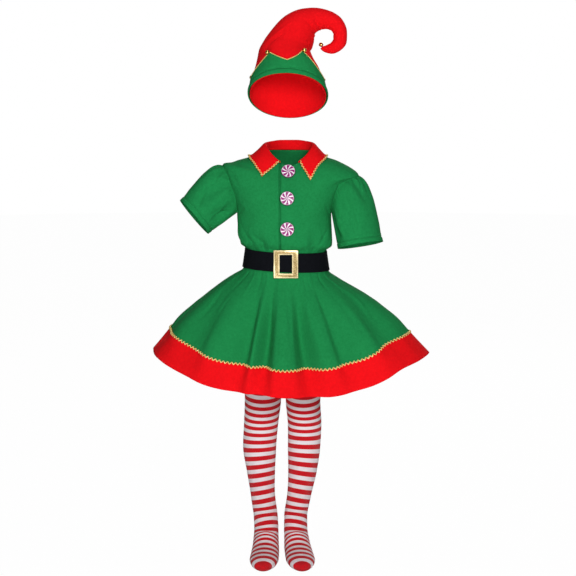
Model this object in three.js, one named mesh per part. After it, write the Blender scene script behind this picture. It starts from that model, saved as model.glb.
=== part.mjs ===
// Child's elf costume: a curled felt hat, a belted dress with a swinging skirt, and two striped
// over-the-knee stockings, in the form that they keep when they are worn.
// Millimetres, +Z up, +X to the viewer's right, -Y towards the viewer.
// The origin is the middle of the neck at the shoulders, where the dress is carried.
import * as THREE from 'three';

const FELT = 1.8; // wall of the hat, bodice, sleeves and skirt
const KNIT = 1.5; // wall of the stockings
const SEAM = 0.32; // gap between pieces that are sewn together
const TRIM = 1.0; // thickness of gold braid
const HEM_STAND = 0.5; // a sleeve's turned hem stands out by this
const QUARTER = 90; // degrees from the front to a side seam

const GREEN = { color: 0x1b7a3e, roughness: 0.9, metalness: 0 };
const RED = { color: 0xd5121b, roughness: 0.9, metalness: 0 };
const GOLD = { color: 0xc7a04a, roughness: 0.45, metalness: 0.6 };
const BLACK = { color: 0x14151a, roughness: 0.75, metalness: 0 };
const WHITE = { color: 0xf0e6ee, roughness: 0.4, metalness: 0 };
const STRIPED = { color: 0xe58a90, roughness: 0.85, metalness: 0 };

const costume = new THREE.Group();
const radians = THREE.MathUtils.degToRad;
const point = (x, y, z) => new THREE.Vector3(x, y, z);
const mix = THREE.MathUtils.lerp;
const ease = THREE.MathUtils.smoothstep;

// TABLES
// Each table has named columns and a row for each section or fold.

function table(columns, rows) {
  return rows.map((row) => Object.fromEntries(columns.map((name, i) => [name, row[i]])));
}

// One column at a fractional row number, on a curve that never overshoots the rows.
function read(rows, name, at) {
  const last = rows.length - 1;
  const place = Math.min(Math.max(at, 0), last);
  const i = Math.min(Math.floor(place), last - 1);
  const f = place - i;
  const rise = (k) => rows[k + 1][name] - rows[k][name];
  const slope = (k) => {
    if (k === 0) return rise(0);
    if (k === last) return rise(last - 1);
    const before = rise(k - 1);
    const after = rise(k);
    return before * after > 0 ? (2 * before * after) / (before + after) : 0;
  };
  const curve = f * f * (3 - 2 * f) * rise(i);
  return rows[i][name] + curve + f * (1 - f) * ((1 - f) * slope(i) - f * slope(i + 1));
}

// The bell-shaped height of a soft fold, 1 on its middle line and 0 from its edges on.
const swell = (x) => (x * x < 1 ? (1 - x * x) ** 2 : 0);
const turnBetween = (a, b) => ((((a - b + 180) % 360) + 360) % 360) - 180;

// SOLIDS

function addPiece(name, positions, triangles, finish) {
  let volume = 0;
  for (const [a, b, c] of triangles) {
    volume += positions[a].dot(positions[b].clone().cross(positions[c]));
  }
  const facing = volume > 0 ? triangles : triangles.map(([a, b, c]) => [a, c, b]);
  const geometry = new THREE.BufferGeometry();
  const flat = positions.flatMap((p) => p.toArray());
  geometry.setAttribute('position', new THREE.Float32BufferAttribute(flat, 3));
  geometry.setIndex(facing.flat());
  geometry.computeVertexNormals();
  const mesh = new THREE.Mesh(geometry, new THREE.MeshStandardMaterial(finish));
  mesh.name = name;
  costume.add(mesh);
}

// A cloth wall between an outer and an inner grid of points. 'ring' joins the last column to the
// first, and 'shut' closes the last row, as at a toe.
function addWall(name, outer, inner, finish, { ring = false, shut = false } = {}) {
  const rows = outer.length;
  const columns = outer[0].length;
  const positions = [...outer.flat(), ...inner.flat()];
  const inside = rows * columns;
  const at = (r, c) => r * columns + (c % columns);
  const triangles = [];
  const quad = (a, b, c, d, alongAC) => {
    triangles.push(...(alongAC ? [[a, b, c], [a, c, d]] : [[a, b, d], [b, c, d]]));
  };
  const spans = ring ? columns : columns - 1;
  for (let r = 0; r < rows - 1; r += 1) {
    for (let c = 0; c < spans; c += 1) {
      const [a, b, d, e] = [at(r, c), at(r, c + 1), at(r + 1, c + 1), at(r + 1, c)];
      const short = positions[a].distanceTo(positions[d]) < positions[b].distanceTo(positions[e]);
      quad(a, b, d, e, short);
      quad(inside + e, inside + d, inside + b, inside + a, !short);
    }
  }
  for (let c = 0; c < spans; c += 1) {
    quad(at(0, c + 1), at(0, c), inside + at(0, c), inside + at(0, c + 1), true);
    const [a, b] = [at(rows - 1, c), at(rows - 1, c + 1)];
    if (!shut) quad(a, b, inside + b, inside + a, true);
  }
  if (shut) {
    for (const [offset, grid] of [[0, outer], [inside, inner]]) {
      const middle = positions.length;
      const last = grid[rows - 1];
      positions.push(last.reduce((sum, p) => sum.add(p), point(0, 0, 0)).divideScalar(columns));
      for (let c = 0; c < spans; c += 1) {
        const pair = [offset + at(rows - 1, c), offset + at(rows - 1, c + 1)];
        triangles.push(offset ? [middle, pair[1], pair[0]] : [middle, pair[0], pair[1]]);
      }
    }
  }
  if (!ring) {
    for (let r = 0; r < rows - 1; r += 1) {
      const end = columns - 1;
      quad(at(r, 0), at(r + 1, 0), inside + at(r + 1, 0), inside + at(r, 0), true);
      quad(at(r + 1, end), at(r, end), inside + at(r, end), inside + at(r + 1, end), true);
    }
  }
  addPiece(name, positions, triangles, finish);
}

// The outward direction of a surface at(u, v), whose u runs to the viewer's right on the front
// and whose v runs up.
function outward(at, u, v, du = 0.4, dv = 0.02) {
  const across = at(u + du, v).sub(at(u - du, v));
  const along = at(u, v + dv).sub(at(u, v - dv));
  return across.cross(along).normalize();
}

// The outer and the inner grid of a wall, each at its own distance outside the surface at(u, v).
// 'us' may be a list or depend on v, and a distance may depend on both.
function sheet(at, us, vs, outerDepth, innerDepth, sign = 1) {
  const grid = (depth) => vs.map((v, r) => (typeof us === 'function' ? us(v, r) : us).map((u) => {
    const lift = typeof depth === 'function' ? depth(u, v) : depth;
    return at(u, v).addScaledVector(outward(at, u, v), sign * lift);
  }));
  return [grid(outerDepth), grid(innerDepth)];
}

function spread(from, to, count) {
  return Array.from({ length: count + 1 }, (unused, i) => mix(from, to, i / count));
}

const around = (count) => spread(0, 360, count).slice(0, count);

// A ring of cloth or braid: its section at each column is a closed loop of points.
function addLoop(name, sections, finish) {
  const columns = sections.length;
  const sides = sections[0].length;
  const triangles = [];
  for (let c = 0; c < columns; c += 1) {
    for (let k = 0; k < sides; k += 1) {
      const next = ((c + 1) % columns) * sides;
      const side = (k + 1) % sides;
      triangles.push([c * sides + k, next + k, next + side]);
      triangles.push([c * sides + k, next + side, c * sides + side]);
    }
  }
  addPiece(name, sections.flat(), triangles, finish);
}

// BODICE
// Closed rings from the waist seam to the neck. Each ring is a rounded oval that dips at the front
// and back of the shoulders. 'power' squares it, 'wider' widens it on the viewer's right alone, and
// 'lean' drops it towards that side.

const BODY = table(
  ['zSide', 'zFront', 'zBack', 'halfWidth', 'front', 'back', 'power', 'middle', 'wider', 'lean'],
  [
    [-240.3, -240.3, -240.3, 96.4, 81.4, 78.4, 2.0, -5, 0, 0.04], // waist seam
    [-218, -218, -218, 93.0, 81.3, 78.3, 2.0, -5, 0, 0.04], // upper edge of the belt
    [-205, -195, -202, 107, 91, 88, 2.1, -4, 0, 0.03], // cloth bloused over the belt
    [-174, -174, -174, 109.5, 92, 88, 2.3, -7, 0, 0], // midriff
    [-133, -136, -133, 110, 90, 86, 2.3, -9, 0, 0], // underarm
    [-100, -106, -102, 119, 87, 84, 2.3, -8, 0, 0],
    [-66, -80, -74, 134, 81, 80, 2.3, -7, 0, 0],
    [-32.5, -57, -46, 147, 71, 73, 2.2, -5, 23, 0.0757], // shoulder point
    [-13, -44, -28, 122, 64, 67, 2.1, -3, 0, 0],
    [-2, -31, -9, 88, 57, 58, 2.1, 0, 0, 0],
    [12, -18, 11, 52, 50, 47, 2.1, 3, 0, 0], // neck seam
  ],
);
const UNDERARM_ROW = 4;
const SHOULDER_ROW = 7;
const NECK_ROW = 10;

// Soft folds of the bodice: where each lies round the body and up it, and how far it stands.
const BODICE_FOLDS = table(
  ['angle', 'width', 'row', 'height', 'depth'],
  [
    [-68, 15, 2.7, 1.7, 5],
    [-38, 12, 2.2, 1.5, -4],
    [-22, 8, 1.9, 1.0, 3],
    [26, 9, 1.9, 1.0, 3],
    [41, 11, 2.4, 1.4, -4],
    [64, 13, 2.5, 1.6, 4],
    [112, 14, 2.4, 1.6, 5],
    [140, 12, 2.0, 1.3, -4],
    [165, 10, 1.9, 1.1, 4],
    [190, 10, 2.2, 1.4, -4],
    [214, 13, 2.0, 1.4, 5],
    [247, 13, 2.5, 1.6, -4],
  ],
);

function bodyPoint(angle, row) {
  const turn = radians(angle);
  const [s, c] = [Math.sin(turn), Math.cos(turn)];
  const halfWidth = read(BODY, 'halfWidth', row) + (s > 0 ? read(BODY, 'wider', row) : 0);
  const depth = read(BODY, c > 0 ? 'front' : 'back', row);
  const power = read(BODY, 'power', row);
  const squared = Math.abs(s / halfWidth) ** power + Math.abs(c / depth) ** power;
  let reach = squared ** (-1 / power);
  for (const fold of BODICE_FOLDS) {
    const across = swell(turnBetween(angle, fold.angle) / fold.width);
    reach += fold.depth * across * swell((row - fold.row) / fold.height) * ease(row, 1, 1.6);
  }
  const level = read(BODY, 'zSide', row) * s * s + read(BODY, c > 0 ? 'zFront' : 'zBack', row) * c * c;
  const x = read(BODY, 'middle', row) + reach * s;
  return point(x, -reach * c, level - read(BODY, 'lean', row) * x);
}

// The armhole is a loop in that surface. Its turn starts at the underarm and passes the front.
const ARMHOLE_STEPS = 12;
const ARMHOLE_WIDTH = 18; // degrees cut from the front and from the back of the side
const armholeRow = (turn) => {
  const middle = (UNDERARM_ROW + SHOULDER_ROW) / 2;
  return middle - ((SHOULDER_ROW - UNDERARM_ROW) / 2) * Math.cos(radians(turn));
};
const armholeCut = (row) => {
  if (row <= UNDERARM_ROW || row >= SHOULDER_ROW) return 0;
  const part = (2 * row - UNDERARM_ROW - SHOULDER_ROW) / (SHOULDER_ROW - UNDERARM_ROW);
  return ARMHOLE_WIDTH * Math.sqrt(1 - part * part);
};
const BODICE_ROWS = [
  0, 1, 1.4, 2, 2.6, 3.3,
  ...spread(0, 180, ARMHOLE_STEPS).map(armholeRow),
  7.5, 8, 8.5, 9, NECK_ROW - 0.4, NECK_ROW,
];

// The opening runs down the front. The wearer's left front laps over the right one.
const LAP_EDGE = -16; // x of the upper edge
const LAP_UNDER = 13; // x of the covered edge
const LAP_STEP = 8; // the covered front starts to sink this far before the upper edge
const LAP_SLACK = 0.3; // more room between the two fronts than between sewn pieces
const LAP_REST = 1.5; // and lies flat again this far before it
const seamAngle = (row) => THREE.MathUtils.radToDeg(SEAM / 2 / read(BODY, 'halfWidth', row));
const lapAngle = (x, row) => {
  const offset = x - read(BODY, 'middle', row);
  return THREE.MathUtils.radToDeg(Math.atan2(offset, read(BODY, 'front', row)));
};
const sideAngle = (row) => QUARTER - armholeCut(row) - seamAngle(row);

function addBodice() {
  const halfColumns = 8;
  const backColumns = 14;
  const sunk = (angle, row) => {
    const x = bodyPoint(angle, row).x;
    return -(FELT + SEAM + LAP_SLACK) * ease(x, LAP_EDGE - LAP_STEP, LAP_EDGE - LAP_REST);
  };
  const right = (row) => [
    ...spread(-sideAngle(row), lapAngle(LAP_EDGE - LAP_STEP, row), halfColumns - 2),
    lapAngle(LAP_EDGE - LAP_REST, row),
    lapAngle((LAP_EDGE + LAP_UNDER) / 2, row),
    lapAngle(LAP_UNDER, row),
  ];
  const left = (row) => spread(lapAngle(LAP_EDGE, row), sideAngle(row), halfColumns);
  const back = (row) => spread(180 - sideAngle(row), 180 + sideAngle(row), backColumns);
  const under = (angle, row) => sunk(angle, row) - FELT;
  addWall('bodice_front_right', ...sheet(bodyPoint, right, BODICE_ROWS, sunk, under), GREEN);
  addWall('bodice_front_left', ...sheet(bodyPoint, left, BODICE_ROWS, 0, -FELT), GREEN);
  addWall('bodice_back', ...sheet(bodyPoint, back, BODICE_ROWS, 0, -FELT), GREEN);
}

// SLEEVES
// Each runs from its armhole to a hem that is an oval about 'mid'. 'rim' points from the middle to
// the outer corner of the hem and 'fore' to its front. The head is gathered and stands up.

const SLEEVES = {
  right: {
    side: -1,
    mid: point(-219, -6, -142),
    rim: point(-32, -4, 39.5),
    fore: point(7, -49, 5),
    folds: table(
      ['turn', 'width', 'middle', 'length', 'depth'],
      [
        [150, 24, 0.38, 0.42, 4],
        [122, 18, 0.42, 0.46, -6],
        [92, 20, 0.5, 0.5, 4],
        [60, 22, 0.42, 0.45, -6],
        [28, 20, 0.5, 0.5, 3],
        [215, 22, 0.45, 0.5, -5],
        [255, 24, 0.5, 0.5, 4],
        [298, 22, 0.45, 0.5, -5],
      ],
    ),
  },
  left: {
    side: 1,
    mid: point(169.5, -8, -207.5),
    rim: point(52.5, 3, 8.5),
    fore: point(-8, -50, 9),
    folds: table(
      ['turn', 'width', 'middle', 'length', 'depth'],
      [
        [152, 20, 0.26, 0.3, -5],
        [125, 20, 0.4, 0.45, 4],
        [96, 18, 0.5, 0.5, -4],
        [66, 20, 0.55, 0.5, 4],
        [40, 18, 0.45, 0.5, -5],
        [212, 22, 0.4, 0.5, -5],
        [250, 24, 0.5, 0.5, 4],
        [296, 22, 0.5, 0.5, -5],
      ],
    ),
  },
};
const SLEEVE_PUFF = table(
  ['part', 'rise'],
  [[0, 0], [0.125, 9], [0.25, 13], [0.375, 14], [0.5, 12], [0.625, 9], [0.75, 6], [0.875, 2], [1, 0]],
);
const GATHERS = 14; // gathers that would fit round a whole armhole, kept on its upper half
const GATHER_DEPTH = 2.2;
const SLEEVE_SET_IN = 0.05; // more gap at the armhole, where both edges are curved
const SLEEVE_SET_OUT = 0.45; // the head stands over the bodice's edge

function armholePoint(side, turn) {
  const row = armholeRow(turn);
  const angle = side * (QUARTER - ARMHOLE_WIDTH * Math.sin(radians(turn)));
  const edge = bodyPoint(angle, row);
  const along = (t) => {
    const at = side * (QUARTER - ARMHOLE_WIDTH * Math.sin(radians(t)));
    return bodyPoint(at, armholeRow(t));
  };
  const out = outward(bodyPoint, angle, row);
  const run = along(turn + 1).sub(along(turn - 1));
  const inwards = run.cross(out).normalize().multiplyScalar(side);
  return edge.addScaledVector(inwards, SEAM + SLEEVE_SET_IN).addScaledVector(out, SLEEVE_SET_OUT);
}

function sleevePoint(sleeve, turn, part) {
  const [c, s] = [Math.cos(radians(turn)), Math.sin(radians(turn))];
  const hem = sleeve.mid.clone().addScaledVector(sleeve.rim, -c).addScaledVector(sleeve.fore, s);
  const head = armholePoint(sleeve.side, turn);
  const place = head.clone().lerp(hem, part);
  const middleHead = armholePoint(sleeve.side, 0).lerp(armholePoint(sleeve.side, 180), 0.5);
  const radial = place.clone().sub(middleHead.lerp(sleeve.mid, part)).normalize();
  const top = (1 - c) / 2;
  let rise = read(SLEEVE_PUFF, 'rise', part * (SLEEVE_PUFF.length - 1)) * top;
  for (const fold of sleeve.folds) {
    const across = swell(turnBetween(turn, fold.turn) / fold.width);
    rise += fold.depth * across * swell((part - fold.middle) / fold.length) * ease(part, 0, 0.12);
  }
  const gather = Math.cos(radians(turn * GATHERS)) * ease(top, 0.45, 0.8);
  rise += GATHER_DEPTH * gather * ease(part, 0, 0.08) * (1 - ease(part, 0.1, 0.42));
  return place.addScaledVector(radial, rise);
}

function addSleeve(name, sleeve) {
  const parts = [0, 0.06, 0.15, 0.28, 0.43, 0.58, 0.73, 0.88, 1];
  const turns = around(2 * ARMHOLE_STEPS);
  // v runs from the armhole to the hem, so outwards is the other way on the viewer's left.
  const at = (turn, part) => sleevePoint(sleeve, turn, part);
  const sign = -sleeve.side;
  const hem = (turn, part) => (part > 0.85 ? HEM_STAND : 0);
  addWall(name, ...sheet(at, turns, parts, hem, -FELT, sign), GREEN, { ring: true });
}

// COLLAR
// Each column is a profile: up from the neck seam, over the fold and down over the bodice to the
// outer edge, which lies at 'edgeAngle' and 'edgeRow' of the bodice. 'stand' is the height at which
// the collar folds.

const COLLAR = table(
  ['angle', 'stand', 'edgeAngle', 'edgeRow'],
  [
    [24, 1.5, 39, 6.95],
    [46, 5, 47.5, 7.65],
    [68, 10, 61, 8.45],
    [90, 14, 87, 8.95],
    [112, 16, 112, 8.7],
    [134, 18, 135, 8.4],
    [157, 20, 158, 8.2],
    [180, 20, 180, 8.15],
  ],
);
const COLLAR_FRONT = 24; // angle of the two short ends
const COLLAR_SPREAD = 0.7; // below 1, a column leaves its angle early on its way to the edge
const COLLAR_OFF = 3.2; // how far the fall lies off the bodice
const COLLAR_WALL = 1.8;
const COLLAR_PROFILE = 8; // spans from the neck seam to the outer edge

const collarRow = (angle) => {
  const lap = (COLLAR.length - 1) / (180 - COLLAR_FRONT);
  return (Math.min(angle, 360 - angle) - COLLAR_FRONT) * lap;
};

function collarPoint(angle, part) {
  const mirrored = angle > 180;
  const row = collarRow(angle);
  const stand = read(COLLAR, 'stand', row);
  const near = read(COLLAR, 'edgeAngle', row);
  const edgeAngle = mirrored ? 360 - near : near;
  const edgeRow = read(COLLAR, 'edgeRow', row);
  const neck = bodyPoint(angle, NECK_ROW);
  const out = outward(bodyPoint, angle, NECK_ROW - 0.02);
  const level = point(Math.sin(radians(angle)), -Math.cos(radians(angle)), 0);
  neck.addScaledVector(out, -FELT / 2);
  const over = (f, off) => {
    const to = [mix(angle, edgeAngle, f ** COLLAR_SPREAD), mix(NECK_ROW, edgeRow, f)];
    return bodyPoint(...to).addScaledVector(outward(bodyPoint, ...to), off);
  };
  const up = (height, width) => neck.clone().addScaledVector(level, width).add(point(0, 0, height));
  const profile = [
    up(COLLAR_WALL / 2 + 0.5, 0),
    up(stand * 0.6 + 1.2, 0.6),
    up(stand + 2.4, 2.2),
    up(stand + 3.4, 5),
    up(stand + 1.8, 8),
    over(0.36, COLLAR_OFF + 1.5 + stand * 0.42),
    over(0.58, COLLAR_OFF + 1.2 + stand * 0.18),
    over(0.8, COLLAR_OFF + 0.6),
    over(1, COLLAR_OFF),
  ];
  const rows = profile.map((p) => ({ x: p.x, y: p.y, z: p.z }));
  const at = part * (rows.length - 1);
  return point(read(rows, 'x', at), read(rows, 'y', at), read(rows, 'z', at));
}

function addCollar() {
  const angles = spread(COLLAR_FRONT, 360 - COLLAR_FRONT, 26);
  const parts = spread(0, 1, COLLAR_PROFILE);
  const half = COLLAR_WALL / 2;
  addWall('collar', ...sheet(collarPoint, angles, parts, -half, half), RED);

  // Gold braid along the short ends and the outer edge, on top of the fall.
  const turn = 3.6; // degrees of braid width at the short ends
  const inset = 0.4; // degrees from the short ends to the braid
  const width = 0.075; // part of the profile that the braid covers at the outer edge
  const [start, end] = [COLLAR_FRONT + inset, 360 - COLLAR_FRONT - inset];
  const fold = 0.5;
  const edge = 0.995;
  const route = [];
  const place = (outer, inner) => route.push({ outer, inner });
  for (const part of [fold, 0.625, 0.75, 0.875]) place([start, part], [start + turn, part]);
  place([start, edge], [start + turn, edge - width]);
  for (const a of spread(start, end, 26).slice(1, -1)) place([a, edge], [a, edge - width]);
  place([end, edge], [end - turn, edge - width]);
  for (const part of [0.875, 0.75, 0.625, fold]) place([end, part], [end - turn, part]);
  const lifted = ([a, part], lift) => {
    return collarPoint(a, part).addScaledVector(outward(collarPoint, a, part), -half - lift);
  };
  const grid = (lift) => ['outer', 'inner'].map((side) => route.map((r) => lifted(r[side], lift)));
  const gap = 0.6; // more than at a seam, because the braid bridges the collar's facets
  addWall('collar_braid', grid(gap + TRIM), grid(gap), GOLD);
}

// SKIRT
// A flared skirt hangs from the waist seam. Each meridian swings out below the belt to its own
// slope, and at the sides it droops again towards the hem. The hem is low at the front and back.

const SKIRT_WAIST = { middle: -4.7, halfWidth: 96.4, depth: 81.4, top: -240.7 };
const SKIRT_UNDER_BELT = 22;
const SKIRT_LENGTH = 300; // below the belt, on the middle meridian
const SKIRT_LONGER_LEFT = 8; // more at the wearer's left side, less at the right
const BELT_SLOPE = 8; // degrees from upright under the belt
const SKIRT_SWINGS = 21; // length from the waist seam at which a meridian starts to swing out
const SKIRT_SWUNG = 36; // and at which it has swung out, at the sides
const SKIRT_SWUNG_FRONT = 72; // the same at the front and back
const SKIRT_DROOP = 15; // at the sides, degrees more than 'slope' at the top and less at the hem
const FOLD_LEVELS = 0.3; // a ridge at a side also lies higher, and a valley lower
const FOLD_FULL = 0.7; // part of the way down at which a fold has its whole depth
const FOLD_AT_HEM = 0.45; // share of that depth which is left at the hem
const BAND = 64; // height of the red hem band
const FLARE_STEP = 20;
const SKIRT_FLARE = table(
  ['angle', 'slope'],
  [
    [-180, 34], [-160, 36], [-140, 40], [-120, 46], [-100, 50.3], [-80, 49.3], [-60, 42.1],
    [-40, 33.8], [-20, 30.9], [0, 29.3], [20, 29.9], [40, 36.3], [60, 50], [80, 53.1],
    [100, 46.5], [120, 42], [140, 39], [160, 35.5], [180, 34],
  ],
);
// Folds of the skirt: 'start' is where one leaves the waist, and 'drift' turns it towards the hem.
const SKIRT_FOLDS = table(
  ['angle', 'width', 'depth', 'start', 'drift'],
  [
    [-86, 10, -3, 0.3, 0], [-70, 12, -10, 0.06, 11], [-50, 10, 9, 0.1, 4], [-34, 9, -22, 0.07, 6],
    [-23, 6, 7, 0.1, 1], [-16, 8, -29, 0.06, 1], [-3, 11, 14, 0.1, 1], [12, 9, -32, 0.06, 3],
    [27, 9, 11, 0.12, 0], [37, 7, -10, 0.1, 1], [48, 9, 8, 0.15, 0], [64, 10, -14, 0.06, -5],
    [77, 8, 4, 0.2, 0], [90, 9, -3, 0.3, 0], [105, 10, 4, 0.3, 0], [121, 9, -14, 0.12, 2],
    [138, 10, 9, 0.25, 0], [153, 9, -22, 0.08, -2], [168, 10, 12, 0.15, 0], [183, 9, -21, 0.08, 1],
    [200, 11, 10, 0.2, 0], [216, 9, -21, 0.08, -2], [232, 10, 9, 0.25, 0], [247, 9, -9, 0.2, 2],
    [262, 9, 3, 0.3, 0],
  ],
);

function skirtPoint(angle, part) {
  const turn = radians(angle);
  const slopeRow = (turnBetween(angle, 0) + 180) / FLARE_STEP;
  const slope = read(SKIRT_FLARE, 'slope', slopeRow);
  const length = SKIRT_UNDER_BELT + SKIRT_LENGTH + SKIRT_LONGER_LEFT * Math.sin(turn);
  const sideways = Math.sin(turn) ** 2;
  const steps = 16;
  let [out, drop] = [0, 0];
  for (let i = 0; i < steps; i += 1) {
    const along = (part * length * (i + 0.5)) / steps;
    const full = slope + SKIRT_DROOP * sideways * (1 - (2 * along) / length);
    const swung = mix(SKIRT_SWUNG_FRONT, SKIRT_SWUNG, sideways);
    const lean = mix(BELT_SLOPE, full, ease(along, SKIRT_SWINGS, swung));
    out += (Math.sin(radians(lean)) * part * length) / steps;
    drop += (Math.cos(radians(lean)) * part * length) / steps;
  }
  let pushed = 0;
  for (const fold of SKIRT_FOLDS) {
    const across = swell(turnBetween(angle, fold.angle + fold.drift * part) / fold.width);
    pushed += fold.depth * across * ease(part, fold.start, FOLD_FULL);
  }
  pushed *= mix(1, FOLD_AT_HEM, ease(part, FOLD_FULL, 1));
  out += pushed;
  drop -= FOLD_LEVELS * pushed * sideways;
  const x = SKIRT_WAIST.middle + (SKIRT_WAIST.halfWidth + out) * Math.sin(turn);
  const level = SKIRT_WAIST.top - drop - read(BODY, 'lean', 0) * x * (1 - ease(part, 0.1, 0.5));
  return point(x, -(SKIRT_WAIST.depth + out) * Math.cos(turn), level);
}

// The surface is read from the hem up, so that its outward side is found as on the bodice.
const skirtUp = (angle, up) => skirtPoint(angle, 1 - up);
const BAND_PART = BAND / (SKIRT_UNDER_BELT + SKIRT_LENGTH);
const BAND_SEAM = 0.55; // more gap than at other seams, because the folds twist both edges
const SEAM_PART = BAND_SEAM / (SKIRT_UNDER_BELT + SKIRT_LENGTH);
const SKIRT_BRAID = 4.4; // width of the braid over the band seam
const SKIRT_BRAID_OFF = 1.1; // more gap than at a seam, because it bridges the facets of the folds
const SKIRT_COLUMNS = 76;

function addSkirt() {
  const half = SKIRT_COLUMNS / 2;
  const gap = 0.045; // degrees between a panel's edge and the side seam
  const panels = { front: [-QUARTER + gap, QUARTER - gap], back: [QUARTER + gap, 270 - gap] };
  const green = [BAND_PART + SEAM_PART, 0.32, 0.44, 0.56, 0.68, 0.79, 0.88, 0.935, 1];
  const red = [0, BAND_PART / 2, BAND_PART];
  for (const [name, [from, to]] of Object.entries(panels)) {
    const angles = spread(from, to, half);
    addWall(`skirt_${name}`, ...sheet(skirtUp, angles, green, 0, -FELT), GREEN);
    addWall(`hem_band_${name}`, ...sheet(skirtUp, angles, red, 0, -FELT), RED);
  }
  const braid = SKIRT_BRAID / 2 / (SKIRT_UNDER_BELT + SKIRT_LENGTH);
  const at = (angle, up, lift) => {
    const place = BAND_PART + up;
    return skirtUp(angle, place).addScaledVector(outward(skirtUp, angle, place), lift);
  };
  const sections = around(SKIRT_COLUMNS).map((angle) => [
    at(angle, -braid, SKIRT_BRAID_OFF),
    at(angle, -braid, SKIRT_BRAID_OFF + TRIM),
    at(angle, braid, SKIRT_BRAID_OFF + TRIM),
    at(angle, braid, SKIRT_BRAID_OFF),
  ]);
  addLoop('skirt_braid', sections, GOLD);
}

// BELT AND BUCKLE

const BELT = { top: -218.2, bottom: -262.2, topWidth: 94, topDepth: 82.4, wall: 2.2 };
const BELT_WIDENS = 6.4; // from the upper to the lower edge, at the sides
const BELT_DEEPENS = 2.8; // at the front and back
const BUCKLE = { x: -4.9, z: -243, width: 56, height: 64, holeWidth: 29, holeHeight: 43, corner: 3 };
const BUCKLE_PLATE = 2.4;
const BUCKLE_BEAD = 1.2; // raised borders on both edges of the frame

function addBelt() {
  const sections = around(44).map((angle) => {
    const turn = radians(angle);
    const at = (z, out) => {
      const down = (BELT.top - z) / (BELT.top - BELT.bottom);
      const halfWidth = BELT.topWidth + out + BELT_WIDENS * down;
      const depth = BELT.topDepth + out + BELT_DEEPENS * down;
      const x = SKIRT_WAIST.middle + halfWidth * Math.sin(turn);
      return point(x, -depth * Math.cos(turn), z - read(BODY, 'lean', 0) * x);
    };
    return [
      at(BELT.bottom, 0),
      at(BELT.bottom, BELT.wall),
      at(BELT.top, BELT.wall),
      at(BELT.top, 0),
    ];
  });
  addLoop('belt', sections, BLACK);
}

function addBuckle() {
  const { corner } = BUCKLE;
  const stations = [];
  const quarters = [[1, 1, 0], [-1, 1, 90], [-1, -1, 180], [1, -1, 270]];
  for (const [sx, sz, from] of quarters) {
    for (const a of [0, 30, 60, 90]) {
      const [c, s] = [Math.cos(radians(from + a)), Math.sin(radians(from + a))];
      const outer = [
        sx * (BUCKLE.width / 2 - corner) + corner * c,
        sz * (BUCKLE.height / 2 - corner) + corner * s,
      ];
      const inner = [
        sx * (BUCKLE.holeWidth / 2 - corner / 2) + (corner / 2) * c,
        sz * (BUCKLE.holeHeight / 2 - corner / 2) + (corner / 2) * s,
      ];
      stations.push({ outer, inner });
    }
  }
  // From the hole to the rim: bead, plate, bead, then the flat back.
  const section = [
    [0, 0], [0, BUCKLE_PLATE + BUCKLE_BEAD], [0.18, BUCKLE_PLATE + BUCKLE_BEAD],
    [0.26, BUCKLE_PLATE], [0.74, BUCKLE_PLATE], [0.82, BUCKLE_PLATE + BUCKLE_BEAD],
    [1, BUCKLE_PLATE + BUCKLE_BEAD], [1, 0],
  ];
  const tilt = Math.atan2(BELT_DEEPENS, BELT.top - BELT.bottom);
  const middle = BELT.topDepth + BELT.wall + BELT_DEEPENS / 2 + SEAM;
  const sections = stations.map(({ outer, inner }) => section.map(([f, lift]) => {
    const local = point(mix(inner[0], outer[0], f), -lift, mix(inner[1], outer[1], f));
    local.applyAxisAngle(point(1, 0, 0), -tilt);
    const beltMiddle = (BELT.top + BELT.bottom) / 2;
    const shift = Math.tan(tilt) * (beltMiddle - BUCKLE.z);
    return local.add(point(BUCKLE.x, -middle - shift, BUCKLE.z));
  }));
  addLoop('belt_buckle', sections, GOLD);
}

// BUTTONS

const BUTTON = { radius: 16.5, thickness: 4.6, edge: 1.4 };
const BUTTONS = table(
  ['name', 'x', 'z', 'shank'],
  [
    ['button_top', 0.5, -33, 0.6],
    ['button_middle', -2, -92.5, 0.1],
    ['button_bottom', -2, -162, 0.1],
  ],
);

function addButtons() {
  const { radius, thickness, edge } = BUTTON;
  const outline = [
    [0, 0], [radius - edge, 0], [radius, edge], [radius, thickness - edge],
    [radius - edge, thickness], [radius - 3 * edge, thickness - 0.5], [0, thickness - 0.2],
  ];
  const sides = 18;
  for (const { name, x, z, shank } of BUTTONS) {
    // The row of the bodice whose front lies at the button's height.
    let row = 0;
    while (bodyPoint(0, row).z < z) row += 0.01;
    const seat = [lapAngle(x, row), row];
    const out = outward(bodyPoint, ...seat);
    const turn = new THREE.Quaternion().setFromUnitVectors(point(0, 0, 1), out);
    const base = bodyPoint(...seat).addScaledVector(out, SEAM + shank);
    const positions = [];
    const triangles = [];
    const place = (r, h, angle) => {
      const local = point(r * Math.cos(angle), r * Math.sin(angle), h);
      positions.push(local.applyQuaternion(turn).add(base));
      return positions.length - 1;
    };
    const rings = outline.slice(1, -1).map(([r, h]) => (
      around(sides).map((a) => place(r, h, radians(a)))
    ));
    const foot = place(0, outline[0][1], 0);
    const face = place(0, outline[outline.length - 1][1], 0);
    for (let i = 0; i < sides; i += 1) {
      const j = (i + 1) % sides;
      triangles.push([foot, rings[0][j], rings[0][i]]);
      triangles.push([face, rings[rings.length - 1][i], rings[rings.length - 1][j]]);
      for (let k = 0; k < rings.length - 1; k += 1) {
        triangles.push([rings[k][i], rings[k][j], rings[k + 1][j]]);
        triangles.push([rings[k][i], rings[k + 1][j], rings[k + 1][i]]);
      }
    }
    addPiece(name, positions, triangles, WHITE);
  }
}

// HAT
// Sections of the crown from the rim to the tip. 'roll' turns a section from level to the right
// and round the curl, and 'tilt' lifts its front.

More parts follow.
